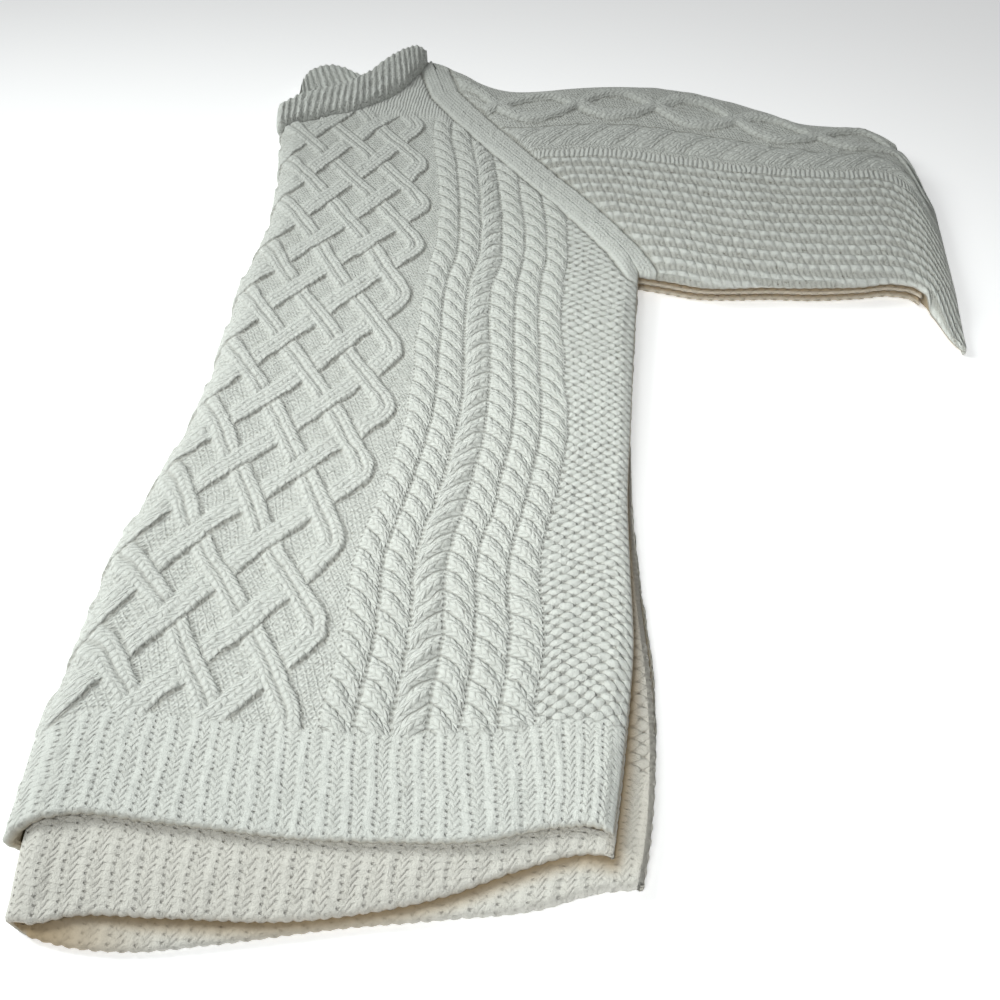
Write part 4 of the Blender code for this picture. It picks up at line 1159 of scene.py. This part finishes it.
# %% [markdown]
# ## Give each cloth its wool
# Each piece has its own wool. The back and the lower sleeve lie below other layers and get a warmer tint,
# painted shade for light that reaches them only through the wool above. Each replaces the plain solid of the
# frame and keeps its place.

# %% Materials


def laid_over(below, share, height, line=0.0):
    """Stitches and groove line, darkened with painted shade in the material, of a pattern that takes the
    place of the one below by this share.
    """
    return mix(below[0], height, share), mix(below[1], line, share)


def front_pattern(stitches, seam):
    across, along, _ = stitches
    both = laid_over(trellis_stitches(across, along), ramp(across, ROPE_START - 0.4, ROPE_START + 0.4),
                     *rope_stitches(across, along))
    both = laid_over(both, ramp(across, ROPE_END - 0.2, ROPE_END + 0.6),
                     moss(across / MOSS_KNOT, along / ROW))
    both = laid_over(both, seam[2], abs(sine(across / GATHER_RIB)) * 0.5 + 0.4)
    both = laid_over(both, fall(along, -3.8, -2.0), rib(across / RIB, along / ROW))
    return raglan_stitches(both, seam)


def raglan_stitches(both, seam):
    """Columns of stitches along the raglan seam, between two grooves that get painted shade."""
    band = fall(seam[0], RAGLAN_BAND - 0.4, RAGLAN_BAND + 0.2)
    height, line = laid_over(both, band, knit(seam[0] / 5.6, seam[1] / ROW) * 0.5 + 0.42)
    return height, highest(line, groove(seam[0], RAGLAN_BAND + 0.8, 1.6) * 0.9)


def back_pattern(stitches, seam):
    across, row = stitches[0], stitches[1] / ROW
    above_welt = ramp(stitches[1], RIB_HEIGHT, RIB_HEIGHT + 2.0)
    return mix(rib(across / RIB, row), moss(across / MOSS_KNOT, row), above_welt), 0.0


def sleeve_pattern(stitches, seam):
    across, along, _ = stitches
    place, twist, in_rope = sleeve_rope_place(across, along)
    nearest = nearest_strand(across, along)
    strands = knit(nearest / 6.6, along / 4.0) * 0.75 + 0.2
    height = mix(purl(along / 5.0, across / 4.4), strands, fall(nearest, 7.4, 8.4))
    rope = knit(twist * 4.0, (place * 29.0 - along * 0.3) / 3.8) * 0.9 + 0.1
    rope_line = fall(edge_distance(twist), 0.01, 0.09) * 0.35
    # The second numbers are grooves, which the material darkens with painted shade.
    height, line = laid_over((height, groove(nearest, 8.8, 1.6) * 0.5), in_rope, rope, rope_line)
    line = highest(line, groove(across, SLEEVE_ROPE_HIGH + 1.0, 1.6) * 0.8)
    upright = abs(sine(along / SLEEVE_KNOT)) * 0.6 + 0.3
    knots = mix(sleeve_moss(across, along), upright, ramp(across, -12.0, -10.5))
    return raglan_stitches(laid_over((height, line), fall(across, -3.0, -1.0), knots), seam)


def lower_pattern(stitches, seam):
    return moss(stitches[1] / SLEEVE_KNOT, stitches[0] / 4.0), 0.0


def neck_pattern(stitches, seam):
    return rib(stitches[0], stitches[1] / 3.3), 0.0


# The back and the left sleeve lie under other layers: their tints are the cream with painted shade, warmer
# and a little darker.
CREAM, CREAM_IN_SHADE, WARM_CREAM_IN_SHADE = (0.70, 0.72, 0.675), (0.71, 0.70, 0.64), (0.70, 0.655, 0.56)
SOFT, CRISP = (1.15, 0.34), (1.4, 0.42)     # depth of the stitches, and how much painted shade darkens the gaps
pieces = (
    (front_cloth, "front", "front wool", CREAM, front_pattern, SOFT, (0.62, 0.70)),
    (back_cloth, "back", "back wool", CREAM_IN_SHADE, back_pattern, SOFT, (0.62, 0.70)),
    (sleeve_cloth, "sleeve_right", "right sleeve wool", CREAM, sleeve_pattern, CRISP, (0.42, 0.36)),
    (lower_cloth, "sleeve_left", "left sleeve wool", WARM_CREAM_IN_SHADE, lower_pattern, SOFT, (0.42, 0.36)),
    (neck_cloth, "neckband", "neckband wool", CREAM, neck_pattern, SOFT, (0.22, 0.12)),
)
for (piece, area), node, slot, tint, pattern, depth, flat in pieces:
    piece.data.materials.append(wool(slot, tint, pattern, *depth))
    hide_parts(node)
    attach(piece, "root")
    round(min(area, flat[0] * flat[1]), 4)
    print(piece.name, len(piece.data.materials[0].node_tree.nodes), "nodes,", round(area, 4), "m2")

# %% [markdown]
# ## Table, light and camera
# The pullover lies on a plain pale floor. Soft light comes from a large lamp on the left, like a
# window, so relief shows by shade, and from a weaker one above the hem. The camera stands above the
# hem and looks along the body.

# %% Floor
bpy.ops.mesh.primitive_plane_add(size=12.0, location=(0.0, 0.0, -0.0006))
floor = bpy.context.object
floor.name = "floor"
paper = bpy.data.materials.new("pale floor")
paper.use_nodes = True
feed(paper.node_tree.nodes["Principled BSDF"], {
    "Base Color": (0.95, 0.95, 0.95, 1.0), "Roughness": 0.9,
    "Emission Color": (1.0, 1.0, 1.0, 1.0), "Emission Strength": 0.35})
floor.data.materials.append(paper)

# %% Light


def lamp(name, place, aim, size, power, colour, spread):
    """Large soft lamp; spread is the angle of its cone of light."""
    data = bpy.data.lights.new(name, "AREA")
    data.shape = "RECTANGLE"
    data.size, data.size_y = size
    data.energy = power
    data.spread = math.radians(spread)
    data.color = colour
    x, y, z = np.array(aim) - np.array(place)
    set_up(name, data, place, (math.atan2(math.hypot(x, y), -z), 0.0, math.atan2(y, x) - math.pi / 2))


lamp("window", (-1.1, 0.25, 0.9), (0.0, -0.3, 0.0), (0.7, 0.7), 4.0, (0.96, 1.0, 0.99), 80.0)
lamp("ceiling", (-0.15, -0.75, 0.8), (0.1, -0.15, 0.0), (0.7, 0.5), 0.75, (0.98, 1.0, 0.99), 40.0)
world = bpy.data.worlds.new("pale room")
world.use_nodes = True
feed(world.node_tree.nodes["Background"], {"Color": (0.97, 0.99, 1.0, 1.0), "Strength": 0.22})
bpy.context.scene.world = world

# %% Camera
lens = bpy.data.cameras.new("camera")
lens.lens = 38.43
lens.sensor_width = 36.0
lens.clip_start = 0.01
bpy.context.scene.camera = set_up("camera", lens, (0.0268, -0.5352, 0.4764), np.radians((41.62, 0.0, 7.29)))
bpy.context.scene.view_settings.view_transform = "Standard"
